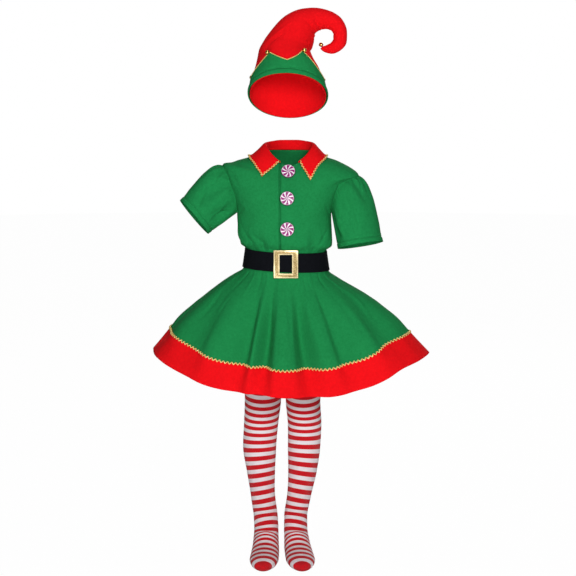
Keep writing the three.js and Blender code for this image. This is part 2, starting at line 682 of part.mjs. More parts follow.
const HAT = table(
  ['x', 'y', 'z', 'across', 'deep', 'roll', 'tilt'],
  [
    [0, 2, 138, 88.5, 98, 2, 33], // rim
    [-1, 5, 160, 85.5, 95, 1, 32],
    [-2, 9, 190, 77, 86, 0, 29],
    [-6, 14, 219, 66, 74, 0, 24],
    [-8, 18, 240, 60, 65, 0, 20],
    [0, 21, 256.5, 56.9, 58, 6.6, 17],
    [11.5, 23, 276.3, 50.6, 51, 16.4, 13],
    [28, 25, 297.5, 41.7, 43, 37.7, 8],
    [48, 26, 310.8, 32.5, 35, 58.5, 4],
    [71.5, 26, 315.5, 25.9, 27, 80, 0],
    [94.5, 26, 312, 21.5, 22, 107.6, 0],
    [111.8, 26, 302.3, 18.8, 19, 130.7, 0],
    [121, 26, 283, 16.6, 17, 166, 0],
    [120.5, 26, 266, 16.4, 16.5, 195, 0],
    [112.5, 26, 254, 15, 15, 228, 0],
    [98, 26, 247, 12.4, 12.4, 262, 0],
    [85.5, 26, 247.5, 8.4, 8.4, 290, 0],
    [77.5, 26, 250, 4.2, 4.2, 310, 0], // tip
  ],
);

function hatPoint(angle, row) {
  const turn = radians(angle);
  const roll = radians(read(HAT, 'roll', row));
  const tilt = radians(read(HAT, 'tilt', row));
  const across = point(Math.cos(roll), 0, -Math.sin(roll));
  const forward = point(0, -Math.cos(tilt), Math.sin(tilt));
  return point(read(HAT, 'x', row), read(HAT, 'y', row), read(HAT, 'z', row))
    .addScaledVector(across, read(HAT, 'across', row) * Math.sin(turn))
    .addScaledVector(forward, read(HAT, 'deep', row) * Math.cos(turn));
}

// The row of the crown that lies a given length of cloth above the rim.
function hatRow(angle, length) {
  const step = 0.05;
  let row = 0;
  let walked = 0;
  let stride = 0;
  while (walked < length) {
    stride = hatPoint(angle, row).distanceTo(hatPoint(angle, row + step));
    walked += stride;
    row += step;
  }
  return stride > 0 ? row - (step * (walked - length)) / stride : row;
}

const CUFF = { valley: 31, wall: 2, off: 1.2, roll: 1.2 };
const EDGING = 2.6; // width of the gold edging along the cuff's upper edge
const BELL = 5.4; // radius
const TIP_BELL = point(-2, 4.2, BELL + 2.1); // middle of the bell from the front of the tip
const CUFF_POINTS = table(
  ['angle', 'height'],
  [[31, 66], [107, 60], [180, 60], [253, 60], [329, 58]],
);
const CUFF_POINT_SPAN = 37; // degrees from a point to the lowest part of a valley
const cuffHeight = (angle) => {
  const rises = CUFF_POINTS.map((tip) => {
    const near = 1 - Math.abs(turnBetween(angle, tip.angle)) / CUFF_POINT_SPAN;
    return (tip.height - CUFF.valley) * Math.max(near, 0) ** 1.6;
  });
  return CUFF.valley + Math.max(...rises);
};

function cuffPoint(angle, length, lift) {
  const row = hatRow(angle, length);
  return hatPoint(angle, row).addScaledVector(outward(hatPoint, angle, row), lift);
}

function addHat() {
  const rows = [0.02, 1, 2, 3, 4, 5, 6, 7, 8, 9, 10, 11, 12, 13, 14, 15, 16, 17];
  for (const [name, from, to, shift] of [['front', -90, 90, -1], ['back', 90, 270, 1]]) {
    const apart = point(0, (shift * SEAM) / 2, 0);
    const grids = sheet(hatPoint, spread(from, to, 10), rows, 0, -FELT);
    for (const p of grids.flat(2)) p.add(apart);
    addWall(`hat_crown_${name}`, ...grids, RED);
  }

  const columns = around(48);
  const levels = [0, 0.12, 0.26, 0.62, 1];
  const cuff = (outer) => levels.map((level) => columns.map((angle) => {
    const rolled = outer && level < 0.2 ? CUFF.roll : 0;
    const lift = CUFF.off + (outer ? CUFF.wall + rolled : 0);
    return cuffPoint(angle, level * cuffHeight(angle), lift);
  }));
  addWall('hat_cuff', cuff(true), cuff(false), GREEN, { ring: true });

  const lift = CUFF.off + CUFF.wall + SEAM;
  const sections = columns.map((angle) => {
    const top = cuffHeight(angle) - 0.2;
    return [
      cuffPoint(angle, top - EDGING, lift),
      cuffPoint(angle, top - EDGING, lift + TRIM),
      cuffPoint(angle, top, lift + TRIM),
      cuffPoint(angle, top, lift),
    ];
  });
  addLoop('hat_piping', sections, GOLD);

  const ball = new THREE.IcosahedronGeometry(BELL, 1);
  const addBell = (name, middle) => {
    const corners = [];
    const index = [];
    const source = ball.getAttribute('position');
    for (let i = 0; i < source.count; i += 1) {
      const corner = point(source.getX(i), source.getY(i), source.getZ(i)).add(middle);
      let at = corners.findIndex((p) => p.distanceTo(corner) < 1e-3);
      if (at < 0) at = corners.push(corner) - 1;
      index.push(at);
    }
    const faces = [];
    for (let k = 0; k < index.length; k += 3) faces.push(index.slice(k, k + 3));
    addPiece(name, corners, faces, GOLD);
  };
  CUFF_POINTS.forEach(({ angle, height }, i) => {
    const middle = cuffPoint(angle, height - BELL, lift + TRIM + SEAM + BELL);
    addBell(`hat_bell_${i + 1}`, middle);
  });
  const tip = hatPoint(0, HAT.length - 1).add(TIP_BELL);
  addBell('hat_bell_tip', tip);
}

// STOCKINGS
// Sections from the welt to the toe. 'pitch' turns a section from level to upright at the foot.

const STOCKING_COLUMNS = ['x', 'y', 'z', 'wide', 'deep', 'pitch'];
const STOCKINGS = {
  right: table(STOCKING_COLUMNS, [
    [-58, 0, -456, 45, 50, 0],
    [-58.5, 0, -520, 44, 48, 0],
    [-59.5, -1, -578, 43, 45, 0],
    [-64, -3, -637, 40.5, 42, 0], // knee
    [-67.5, 4, -695, 39.3, 41.5, 0], // calf
    [-64.5, 7, -753, 33.5, 36.5, 0],
    [-59.8, 8, -812, 29, 31.5, 0],
    [-53.5, 8, -862, 28.8, 31, 0], // ankle
    [-52, 8, -892, 29, 36, 14],
    [-52.5, 2, -915, 30, 44, 36], // heel
    [-53, -22, -928.8, 31.5, 36, 60],
    [-54, -52, -936, 33, 24, 84],
    [-56, -86, -941, 34, 19, 90], // ball of the foot
    [-57, -114, -944, 29, 16, 92],
    [-58, -130, -946.5, 18, 11, 95],
    [-58, -137, -947.5, 6, 4.5, 95], // toe
  ]),
  left: table(STOCKING_COLUMNS, [
    [37, 0, -456, 44, 49, 0],
    [36.5, 0, -520, 42.5, 47, 0],
    [35.7, -1, -578, 41, 44, 0],
    [39.5, -3, -637, 39.8, 42, 0], // knee
    [38.2, 4, -695, 38.4, 41, 0], // calf
    [34.6, 7, -753, 34, 37, 0],
    [26.5, 8, -812, 28.8, 31.5, 0],
    [18.5, 8, -862, 27.6, 30.5, 0], // ankle
    [18.5, 8, -892, 28, 36, 14],
    [20.5, 2, -915, 29.5, 44, 36], // heel
    [22.5, -22, -928.8, 31.5, 36, 60],
    [25.5, -52, -936, 33, 24, 84],
    [29, -86, -941, 34, 19, 90], // ball of the foot
    [31.5, -114, -944, 29, 16, 92],
    [33, -130, -946.5, 18, 11, 95],
    [33.5, -137, -947.5, 6, 4.5, 95], // toe
  ]),
};

function addStocking(name, sections) {
  const last = sections.length - 1;
  const at = (angle, up) => {
    const row = last - up;
    const [turn, pitch] = [radians(angle), radians(read(sections, 'pitch', row))];
    const wide = read(sections, 'wide', row) * Math.sin(turn);
    const deep = read(sections, 'deep', row) * Math.cos(turn);
    return point(
      read(sections, 'x', row) + wide,
      read(sections, 'y', row) - deep * Math.cos(pitch),
      read(sections, 'z', row) + deep * Math.sin(pitch),
    );
  };
  const rows = spread(last, 0, last);
  const grids = sheet(at, around(16), rows, 0, -KNIT);
  addWall(name, ...grids, STRIPED, { ring: true, shut: true });
}

addHat();
addCollar();
addBodice();
addSleeve('sleeve_right', SLEEVES.right);
addSleeve('sleeve_left', SLEEVES.left);
addButtons();
addBelt();
addBuckle();
addSkirt();
addStocking('stocking_right', STOCKINGS.right);
addStocking('stocking_left', STOCKINGS.left);

export default costume;
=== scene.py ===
# %% [markdown]
# # A child's elf costume
#
# The set is a curled felt hat with a green cuff, a green dress with a red collar and hem band, a black
# belt with a gold buckle, and two striped stockings. Nobody wears it here, but it keeps the form that
# it has when it is worn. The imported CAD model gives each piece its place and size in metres, and this
# notebook gives each piece its finer form, its creases, its sewing and its finish.

import bmesh
import bpy
import numpy as np
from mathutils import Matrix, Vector


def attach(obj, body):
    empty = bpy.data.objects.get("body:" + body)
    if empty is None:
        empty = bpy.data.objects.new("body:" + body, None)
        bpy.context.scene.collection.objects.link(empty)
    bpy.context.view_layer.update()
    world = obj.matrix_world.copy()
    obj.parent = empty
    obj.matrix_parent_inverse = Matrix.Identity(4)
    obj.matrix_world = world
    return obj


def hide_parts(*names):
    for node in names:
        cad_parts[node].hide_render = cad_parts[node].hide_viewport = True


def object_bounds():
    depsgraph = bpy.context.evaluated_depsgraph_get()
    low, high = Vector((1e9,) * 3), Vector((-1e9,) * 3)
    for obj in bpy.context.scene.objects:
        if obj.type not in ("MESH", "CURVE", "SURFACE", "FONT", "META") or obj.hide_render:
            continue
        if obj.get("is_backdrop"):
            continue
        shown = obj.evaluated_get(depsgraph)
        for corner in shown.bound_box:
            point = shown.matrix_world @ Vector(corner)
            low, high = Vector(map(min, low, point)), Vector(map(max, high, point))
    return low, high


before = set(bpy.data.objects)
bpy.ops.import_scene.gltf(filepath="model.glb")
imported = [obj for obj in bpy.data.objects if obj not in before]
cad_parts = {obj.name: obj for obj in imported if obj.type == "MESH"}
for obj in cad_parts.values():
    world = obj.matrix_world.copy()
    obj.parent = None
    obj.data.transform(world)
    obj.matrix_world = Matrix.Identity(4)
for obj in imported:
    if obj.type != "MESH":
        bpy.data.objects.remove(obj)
cad_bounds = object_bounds()
print(len(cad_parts), "CAD nodes")

# %% [markdown]
# ## Curves through short tables
#
# A garment is easiest to describe by a few sections: how wide and deep it is at the waist, at the
# underarm, at the shoulder. Between two sections the eye expects a calm line. A plain cubic spline can
# swing past its sections, so a monotone one is used, which never does.

# %% Tables, and a curve that never overshoots
MM = 0.001  # tables are in millimetres, Blender is in metres


def table(text):
    """The columns of a table. Its first line names them, and a # starts a remark."""
    lines = [line.partition("#")[0].split() for line in text.splitlines()]
    names, *rows = [line for line in lines if line]
    return {name: np.array(column, float) for name, column in zip(names, zip(*rows))}


def each(rows):
    return zip(*rows.values())


def read(rows, name, at):
    column = rows[name]
    place = np.clip(at, 0, len(column) - 1)
    i = np.minimum(place.astype(int), len(column) - 2)
    f = place - i
    rise = np.diff(column)
    before, after = rise[:-1], rise[1:]
    same_way = before * after > 0
    middle = np.where(same_way, 2 * before * after / np.where(same_way, before + after, 1), 0)
    slope = np.concatenate([rise[:1], middle, rise[-1:]])
    curve = f * f * (3 - 2 * f) * rise[i]
    return column[i] + curve + f * (1 - f) * ((1 - f) * slope[i] - f * slope[i + 1])


# %% The shapes of a soft fold and of a soft change
def swell(x):
    return np.where(np.abs(x) < 1, (1 - x * x) ** 2, 0.0)


def ease(x, start, end):
    f = np.clip((x - start) / (end - start), 0, 1)
    return f * f * (3 - 2 * f)


def sine(degrees):
    return np.sin(np.radians(degrees))


def cosine(degrees):
    return np.cos(np.radians(degrees))


def turn_between(a, b):
    return (a - b + 180) % 360 - 180


def xyz(x, y, z):
    return np.stack(np.broadcast_arrays(x, y, z), -1).astype(float)


print("half-way up a soft fold:", float(swell(np.array(0.5))))

# %% [markdown]
# ## A sheet of cloth from a grid
#
# Cloth is thin, so each piece starts as a flat grid whose corners are moved onto the garment's surface,
# and a Solidify modifier then gives it its thickness on the inner side. The grid's UV map holds real
# lengths: U runs along a row of the cloth and V up from its lower edge, both in metres. Stitches,
# stripes and ribs read it, so they keep their true size however the cloth bends.

# %% The side of a grid that faces out
def facing(points, ring=False):
    padded = np.concatenate([points[:, -2:-1], points, points[:, 1:2]], 1) if ring else points
    across = padded[:, 2:] - padded[:, :-2] if ring else np.gradient(points, axis=1)
    out = np.cross(across, np.gradient(points, axis=0))
    return out / np.maximum(np.linalg.norm(out, axis=-1, keepdims=True), 1e-9)


def lengths(points, axis):
    steps = np.linalg.norm(np.diff(points, axis=axis), axis=-1)
    start = np.zeros_like(steps.take([0], axis))
    return np.cumsum(np.concatenate([start, steps], axis), axis)


# %% Lay a grid onto points[row, column]
def only(piece):
    bpy.ops.object.select_all(action="DESELECT")
    piece.select_set(True)
    bpy.context.view_layer.objects.active = piece


def lay(name, points, across=None, up=None, ring=False):
    rows, columns = points.shape[:2]
    bpy.ops.object.select_all(action="DESELECT")
    bpy.ops.mesh.primitive_grid_add(x_subdivisions=columns - 1, y_subdivisions=rows - 1, size=2)
    piece = bpy.context.object
    piece.name = piece.data.name = name
    mesh = piece.data
    flat = np.empty(len(mesh.vertices) * 3, np.float32)
    mesh.vertices.foreach_get("co", flat)
    x, y, _ = flat.reshape(-1, 3).T
    column = np.rint((x + 1) / 2 * (columns - 1)).astype(int)
    row = np.rint((y + 1) / 2 * (rows - 1)).astype(int)
    mesh.vertices.foreach_set("co", (points[row, column] * MM).astype(np.float32).ravel())
    corner = np.empty(len(mesh.loops), np.int32)
    mesh.loops.foreach_get("vertex_index", corner)
    across = lengths(points, 1) if across is None else across
    up = lengths(points, 0) if up is None else up
    uv = np.stack([across[row, column], up[row, column]], -1)[corner] * MM
    mesh.uv_layers.active.name = "cloth"
    mesh.uv_layers["cloth"].data.foreach_set("uv", uv.astype(np.float32).ravel())
    mesh.update()
    if ring:
        only(piece)
        bpy.ops.object.mode_set(mode="EDIT")
        bpy.ops.mesh.select_all(action="SELECT")
        bpy.ops.mesh.remove_doubles(threshold=0.00002)
        bpy.ops.object.mode_set(mode="OBJECT")
    bpy.ops.object.shade_smooth()
    return piece


# %% Thickness, finish and the place of a piece in the model
def thicken(piece, wall):
    only(piece)
    solid = piece.modifiers.new("thickness", "SOLIDIFY")
    solid.thickness = wall * MM
    solid.offset = -1
    bpy.ops.object.modifier_apply(modifier=solid.name)


def dress(piece, node, finish):
    piece.data.materials.clear()
    piece.data.materials.append(finish)
    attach(piece, "root")
    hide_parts(node)
    piece.data.calc_loop_triangles()
    print(piece.name, len(piece.data.loop_triangles), "triangles")


def cloth(piece, wall, node, finish, flat):
    """Finish a sheet. Flat is the size of its cut in metres."""
    area = sum(face.area for face in piece.data.polygons)
    thicken(piece, wall)
    dress(piece, node, finish)
    print(f"  cloth {area:.4f} m2, cut {flat[0] * flat[1]:.4f} m2")
    min(area, flat[0] * flat[1])


# %% [markdown]
# ## Creases placed one by one
#
# Worn cloth has a few large folds, which the surfaces hold, and many small creases, which give it its
# life. A crease is a soft trough or ridge along a short line on the surface. Each table row gives its
# two ends, how far its middle bows aside, its half-width, its depth (below 0 for a trough) and whether
# it has its root in a seam, where it is deepest at its start.

# %% Creases, and the edges at a seam
def crease_table(rows):
    return table("u0 v0 u1 v1 bow width depth root\n" + rows)


def along(path, points):
    best = np.full(points.shape[:-1], 1e9)
    where = np.zeros(points.shape[:-1])
    for k, (a, b) in enumerate(zip(path[:-1], path[1:])):
        f = np.clip((points - a) @ (b - a) / ((b - a) @ (b - a)), 0, 1)
        distance = np.linalg.norm(points - a - f[..., None] * (b - a), axis=-1)
        where = np.where(distance < best, (k + f) / (len(path) - 1), where)
        best = np.minimum(distance, best)
    return best, where


def crease(points, surface, rows, ring=False):
    out = facing(points, ring)
    lift = np.zeros(points.shape[:-1])
    f = np.linspace(0, 1, 9)
    for u0, v0, u1, v1, bow, width, depth, root in each(rows):
        path = surface(u0 + (u1 - u0) * f + bow * np.sin(np.pi * f), v0 + (v1 - v0) * f)
        distance, where = along(path, points)
        fade = np.cos(where * np.pi / 2) if root else np.sin(where * np.pi) ** 0.7
        lift += depth * swell(distance / width) * fade
    return points + out * lift[..., None]


def sewn_edge(distance, depth, width=4.5):
    """Cloth dips a little into a seam."""
    return -depth * swell(distance / width)


def turn_in(points, sides=(True, True), depth=3.0, past=1.0):
    """Turn a seam allowance in along the first and the last column, so no light passes the seam."""
    out = facing(points)
    for end, beside in ((0, 1), (-1, -2)):
        if sides[end]:
            away = points[:, end] - points[:, beside]
            away /= np.linalg.norm(away, axis=-1, keepdims=True)
            turned = (points[:, end] + away * past - out[:, end] * depth)[:, None]
            points = np.concatenate([turned, points] if end == 0 else [points, turned], 1)
    return points

# %% [markdown]
# ## Finishes
#
# All finishes are drawn by nodes, with no pictures. The output of a node is wrapped as a signal, so
# that the arithmetic on it reads like any other. An effect that several finishes share is built once
# as a node group: the nap of felt, which is a soft fuzz with faint lighter and darker patches, and a
# row of stitches, which reads the cloth's map in metres.

# %% Small helpers for node trees
def add(tree, kind, values=None, **settings):
    """A new node. Each of the values is an output to link to an input, or the input's own value."""
    node = tree.nodes.new(kind)
    for name, value in settings.items():
        setattr(node, name, value)
    for name, value in (values or {}).items():
        value = getattr(value, "socket", value)
        if isinstance(value, bpy.types.NodeSocket):
            tree.links.new(value, node.inputs[name])
        else:
            node.inputs[name].default_value = value
    return node


def maths(operation, *values):
    tree = next(value.tree for value in values if isinstance(value, Signal))
    node = add(tree, "ShaderNodeMath", dict(enumerate(values)), operation=operation)
    return Signal(tree, node.outputs[0])


class Signal:
    """The output of a node, which adds, scales and compares like a number."""

    def __init__(self, tree, socket):
        self.tree, self.socket = tree, socket

    def __add__(self, other):
        return maths("ADD", self, other)

    def __sub__(self, other):
        return maths("SUBTRACT", self, other)

    def __rsub__(self, other):
        return maths("SUBTRACT", other, self)

    def __mul__(self, other):
        return maths("MULTIPLY", self, other)

    def __truediv__(self, other):
        return maths("DIVIDE", self, other)

    def __abs__(self):
        return maths("ABSOLUTE", self)

    def wave(self, length):
        return maths("SINE", self * (2 * np.pi / length))

    def between(self, low, high):
        """0 below low, 1 above high, and a soft step in between."""
        step = {"Value": self, "From Min": low, "From Max": high}
        node = add(self.tree, "ShaderNodeMapRange", step, interpolation_type="SMOOTHSTEP")
        return Signal(self.tree, node.outputs["Result"])

    def blend(self, first, second):
        """The first colour at 0 and the second at 1."""
        node = add(self.tree, "ShaderNodeMix", {0: self, 6: first, 7: second}, data_type="RGBA")
        return Signal(self.tree, node.outputs[2])


def noise(tree, scale, detail=3.0, roughness=0.5):
    values = {"Vector": place_of(tree), "Scale": scale, "Detail": detail, "Roughness": roughness}
    return Signal(tree, add(tree, "ShaderNodeTexNoise", values).outputs["Fac"])


def place_of(tree):
    return add(tree, "ShaderNodeTexCoord").outputs["Object"]


def parts_of(tree, vector):
    split = add(tree, "ShaderNodeSeparateXYZ", {0: vector})
    return [Signal(tree, output) for output in split.outputs]


def mapped(tree, name="cloth"):
    return parts_of(tree, add(tree, "ShaderNodeUVMap", uv_map=name).outputs[0])[:2]


def group(name, takes, gives):
    """A node group. Colours among its inputs have four numbers, all else is a plain value."""
    tree = bpy.data.node_groups.new(name, "ShaderNodeTree")
    for title, start in takes.items():
        kind = "NodeSocketColor" if np.ndim(start) else "NodeSocketFloat"
        tree.interface.new_socket(title, in_out="INPUT", socket_type=kind).default_value = start
    for title in gives:
        kind = "NodeSocketColor" if title == "Color" else "NodeSocketFloat"
        tree.interface.new_socket(title, in_out="OUTPUT", socket_type=kind)
    taken = tree.nodes.new("NodeGroupInput").outputs
    return tree, [Signal(tree, taken[title]) for title in takes]


# %% Felt nap
nap, (light, deep, fuzz_scale) = group(
    "felt nap", {"Light": (1, 1, 1, 1), "Deep": (0, 0, 0, 1), "Fuzz": 900.0}, ["Color", "Height"]
)
fuzz = noise(nap, fuzz_scale, 5.0, 0.65)
clouds, brushed = noise(nap, 26.0, 3.0, 0.6), noise(nap, 170.0, 4.0, 0.6)
grain = (clouds * 0.2 + brushed * 0.8) * 0.5 + fuzz * 0.5
shade = grain.between(0.30, 0.70).blend(deep, light)
add(nap, "NodeGroupOutput", {"Color": shade, "Height": fuzz * 0.6 + brushed * 0.8})

# %% A row of stitches
stitch, (along_row, off_row, stitch_length, width) = group(
    "stitch row", {"Along": 0.0, "Off": 0.0, "Length": 0.0032, "Width": 0.0005}, ["Thread", "Dip"]
)
beat = along_row / stitch_length
from_middle = abs(maths("FRACT", beat) - 0.5)
dash = 1.0 - from_middle.between(0.32, 0.42)
off = abs(off_row)
on_line = maths("LESS_THAN", off, width)
add(stitch, "NodeGroupOutput", {"Thread": dash * on_line, "Dip": 1.0 - off.between(0.0, 0.0016)})


# %% Felt in two colours, plain or with a stitched hem
def principled(name, **values):
    finish = bpy.data.materials.new(name)
    finish.use_nodes = True
    tree = finish.node_tree
    tree.nodes.clear()
    shader = add(tree, "ShaderNodeBsdfPrincipled", {k.replace("_", " "): v for k, v in values.items()})
    add(tree, "ShaderNodeOutputMaterial", {"Surface": shader.outputs[0]})
    return finish, tree, shader


def paint(shader, color, height=None, distance=0.0003, strength=1.0, **values):
    """Link the colour, the relief and any other signal to the shader."""
    tree = color.tree
    links = {"Base Color": color, **values}
    if height:
        relief = {"Height": height, "Distance": distance, "Strength": strength}
        links["Normal"] = add(tree, "ShaderNodeBump", relief).outputs[0]
    for name, value in links.items():
        tree.links.new(getattr(value, "socket", value), shader.inputs[name])


def felt(name, light, deep, hem=0):
    finish, tree, shader = principled(
        name, Roughness=0.95, Specular_IOR_Level=0.12,
        Sheen_Weight=0.08, Sheen_Roughness=0.5, Sheen_Tint=light,
    )
    fuzz = add(tree, "ShaderNodeGroup", node_tree=nap)
    fuzz.inputs["Light"].default_value, fuzz.inputs["Deep"].default_value = light, deep
    color, height = (Signal(tree, output) for output in fuzz.outputs)
    if hem:
        along_hem, up = mapped(tree)
        row = add(tree, "ShaderNodeGroup", node_tree=stitch)
        for name, value in (("Along", along_hem), ("Off", up - hem * MM)):
            tree.links.new(value.socket, row.inputs[name])
        thread, dip = (Signal(tree, output) for output in row.outputs)
        color = thread.blend(color, tuple(0.62 * a + 0.38 * b for a, b in zip(light, deep)))
        height = height + (dip * -1.4 + thread * 1.2)
    paint(shader, color, height, 0.0004, 0.8)
    return finish


GREEN = (0.012, 0.240, 0.066, 1), (0.006, 0.172, 0.045, 1)
RED = (0.860, 0.004, 0.008, 1), (0.700, 0.002, 0.005, 1)
green_felt = felt("green_felt", *GREEN)
green_hemmed = felt("green_hemmed_felt", *GREEN, hem=11.5)
red_felt = felt("red_felt", *RED)

# %% Gold thread, glitter and brass
gold_thread, tree, shader = principled("gold_thread", Metallic=0.35, Roughness=0.4)
twist = noise(tree, 900.0)
paint(shader, twist.between(0.4, 0.62).blend((0.80, 0.42, 0.05, 1), (1.0, 0.86, 0.40, 1)), twist)

BUCKLE = dict(x=-4.9, z=-243, width=56, height=64, hole_width=29, hole_height=43, plate=2.4, bead=1.2)
gold_glitter, tree, shader = principled("gold_glitter", Metallic=0.6, Roughness=0.36, Coat_Weight=0.25)
flakes = add(tree, "ShaderNodeTexVoronoi", {"Vector": place_of(tree), "Scale": 1500.0})
split = add(tree, "ShaderNodeSeparateColor", {"Color": flakes.outputs["Color"]})
bright, rough, raised = (Signal(tree, output) for output in split.outputs)
flaked = bright.between(0.25, 0.95).blend((0.34, 0.21, 0.06, 1), (0.80, 0.62, 0.30, 1))
# The raised borders follow the frame's outer and inner edges, and take a plain pale gold in place of the
# flaked colour.
x, _, z = parts_of(tree, place_of(tree))
off_x, off_z = abs(x - BUCKLE["x"] * MM), abs(z - BUCKLE["z"] * MM)
to_rim = maths("MINIMUM", BUCKLE["width"] / 2 * MM - off_x, BUCKLE["height"] / 2 * MM - off_z)
to_hole = maths("MAXIMUM", off_x - BUCKLE["hole_width"] / 2 * MM, off_z - BUCKLE["hole_height"] / 2 * MM)
channel = maths("MINIMUM", to_rim, to_hole).between(0.0022, 0.0028)
color = channel.blend((0.95, 0.80, 0.46, 1), flaked)
paint(shader, color, raised, 0.0005, 0.9, Roughness=rough.between(-0.4, 1.6))

bell_brass, tree, shader = principled("bell_brass", Metallic=1.0, Coat_Weight=0.2)
tarnish = noise(tree, 240.0, 4.0)
color = tarnish.between(0.35, 0.7).blend((0.62, 0.36, 0.09, 1), (0.92, 0.62, 0.20, 1))
paint(shader, color, Roughness=tarnish.between(-0.1, 2.2))

# %% Peppermint button: eight curved rays on white, and a dark rim
RAYS, RAY_TWIST = 8, 30.0  # the twist is in radians a metre
peppermint, tree, shader = principled(
    "peppermint", Roughness=0.5, Coat_Weight=0.1, Specular_IOR_Level=0.3
)
x, y = mapped(tree, "face")
radius = maths("SQRT", x * x + y * y)
turn = maths("ARCTAN2", y, x) + radius * RAY_TWIST
beat = turn / (2 * np.pi / RAYS) + RAYS
ray = abs(maths("FRACT", beat) - 0.5)
growth = {"Value": radius, "From Min": 0.002, "From Max": 0.014, "To Min": 0.28, "To Max": 0.33}
half_width = Signal(tree, add(tree, "ShaderNodeMapRange", growth).outputs["Result"])
painted = (half_width - ray).between(-0.03, 0.03) * (1.0 - radius.between(0.0143, 0.0149))
worn = noise(tree, 400.0)
magenta = worn.blend((0.22, 0.004, 0.12, 1), (0.34, 0.010, 0.20, 1))
cream = worn.blend((0.90, 0.84, 0.88, 1), (0.80, 0.72, 0.80, 1))
rim = radius.between(0.0149, 0.0155)
paint(shader, rim.blend(painted.blend(cream, magenta), (0.06, 0.012, 0.05, 1)), painted, 0.0003, 0.5)

# %% Ribbed black webbing
black_webbing, tree, shader = principled("black_webbing", Roughness=0.9, Specular_IOR_Level=0.06)
u, v = mapped(tree)
rib, thread = u.wave(0.0021), v.wave(0.0011)
shade = rib.between(-1.0, 1.0) * 0.55 + noise(tree, 320.0, 4.0) * 0.45
color = shade.blend((0.002, 0.002, 0.003, 1), (0.008, 0.009, 0.013, 1))
paint(shader, color, rib + thread * rib * 0.4, 0.0003, 0.9)

# %% Striped rib knit
STRIPE = 9.85  # height of one stripe
striped_knit, tree, shader = principled(
    "striped_knit", Roughness=0.85, Sheen_Weight=0.08, Sheen_Roughness=0.4, Specular_IOR_Level=0.2
)
u, v = mapped(tree)
rib, course, yarn = u.wave(0.001), v.wave(0.0012), noise(tree, 700.0)
beat = (v + (yarn - 0.5) * 0.0008) / (2 * STRIPE * MM) + 0.27
in_red = 1.0 - abs(maths("FRACT", beat) - 0.5).between(0.255, 0.285)
shade = rib.between(-1.0, 1.0) * 0.5 + yarn * 0.5
red = shade.blend((0.50, 0.003, 0.008, 1), (0.72, 0.008, 0.016, 1))
white = shade.blend((0.78, 0.68, 0.72, 1), (0.96, 0.90, 0.92, 1))
paint(shader, in_red.blend(white, red), rib + course * 0.5, 0.00022, 0.8)

# %% Pale floor
pale_floor, tree, shader = principled("pale_floor", Roughness=0.85, Specular_IOR_Level=0.2)
paint(shader, noise(tree, 3.0, 2.0).blend((0.86, 0.86, 0.86, 1), (0.89, 0.89, 0.89, 1)))
# The camera sees the floor almost as bright as the surround, so no horizon shows behind the costume.
bright = add(tree, "ShaderNodeEmission", {"Color": (1, 1, 1, 1), "Strength": 1.0})
share = Signal(tree, add(tree, "ShaderNodeLightPath").outputs["Is Camera Ray"]) * 0.985
mixed = add(tree, "ShaderNodeMixShader", {0: share, 1: shader.outputs[0], 2: bright.outputs[0]})
tree.links.new(mixed.outputs[0], tree.nodes["Material Output"].inputs["Surface"])
print(len(bpy.data.materials), "materials")

# %% [markdown]
# ## The body of the dress
#
# The bodice is read from closed rings, from the waist seam to the neck. It blouses over the belt,
# narrows at the waist and slopes at the shoulders. The collar and the sleeves start on it too.

# %% Rings of the bodice
BODY = table("""
z_side z_front z_back half_width front back power middle wider lean
-240.3 -240.3 -240.3 96.4 81.4 78.4 2 -5 0 0.04  # waist seam
-218 -218 -218 93 81.3 78.3 2 -5 0 0.04  # upper edge of the belt
-205 -195 -202 107 91 88 2.1 -4 0 0.03  # bloused over the belt
-174 -174 -174 109.5 92 88 2.3 -7 0 0
-133 -136 -133 110 90 86 2.3 -9 0 0  # underarm
-100 -106 -102 119 87 84 2.3 -8 0 0
-66 -80 -74 134 81 80 2.3 -7 0 0
-32.5 -57 -46 147 71 73 2.2 -5 23 0.0757  # shoulder point
-13 -44 -28 122 64 67 2.1 -3 0 0
-2 -31 -9 88 57 58 2.1 0 0 0
12 -18 11 52 50 47 2.1 3 0 0  # neck seam
""")
UNDERARM, SHOULDER, NECK = 4, 7, 10  # row numbers

BODICE_FOLDS = table("""
angle width row height depth
-68 15 2.7 1.7 5
-38 12 2.2 1.5 -4
-22 8 1.9 1 3
26 9 1.9 1 3
41 11 2.4 1.4 -4
64 13 2.5 1.6 4
112 14 2.4 1.6 5
140 12 2 1.3 -4
165 10 1.9 1.1 4
190 10 2.2 1.4 -4
214 13 2 1.4 5
247 13 2.5 1.6 -4
""")


def body(angle, row):
    angle, row = np.broadcast_arrays(np.asarray(angle, float), np.asarray(row, float))
    s, c = sine(angle), cosine(angle)
    # The wearer's left shoulder is drawn out further than the right one.
    half_width = read(BODY, "half_width", row) + np.where(s > 0, read(BODY, "wider", row), 0)
    power = read(BODY, "power", row)
    half_depth = np.where(c > 0, read(BODY, "front", row), read(BODY, "back", row))
    reach = (np.abs(s / half_width) ** power + np.abs(c / half_depth) ** power) ** (-1 / power)
    for fold, width, middle, height, depth in each(BODICE_FOLDS):
        across = swell(turn_between(angle, fold) / width)
        reach = reach + depth * across * swell((row - middle) / height) * ease(row, 1, 1.6)
    level = np.where(c > 0, read(BODY, "z_front", row), read(BODY, "z_back", row))
    x = read(BODY, "middle", row) + reach * s
    z = read(BODY, "z_side", row) * s * s + level * c * c - read(BODY, "lean", row) * x
    return xyz(x, -reach * c, z)


def outward(surface, u, v, du=0.4, dv=0.02):
    across = surface(u + du, v) - surface(u - du, v)
    out = np.cross(across, surface(u, v + dv) - surface(u, v - dv))
    return out / np.linalg.norm(out, axis=-1, keepdims=True)


print("shoulder width", np.ptp(body(np.array([-90, 90]), SHOULDER)[:, 0]).round(), "mm")

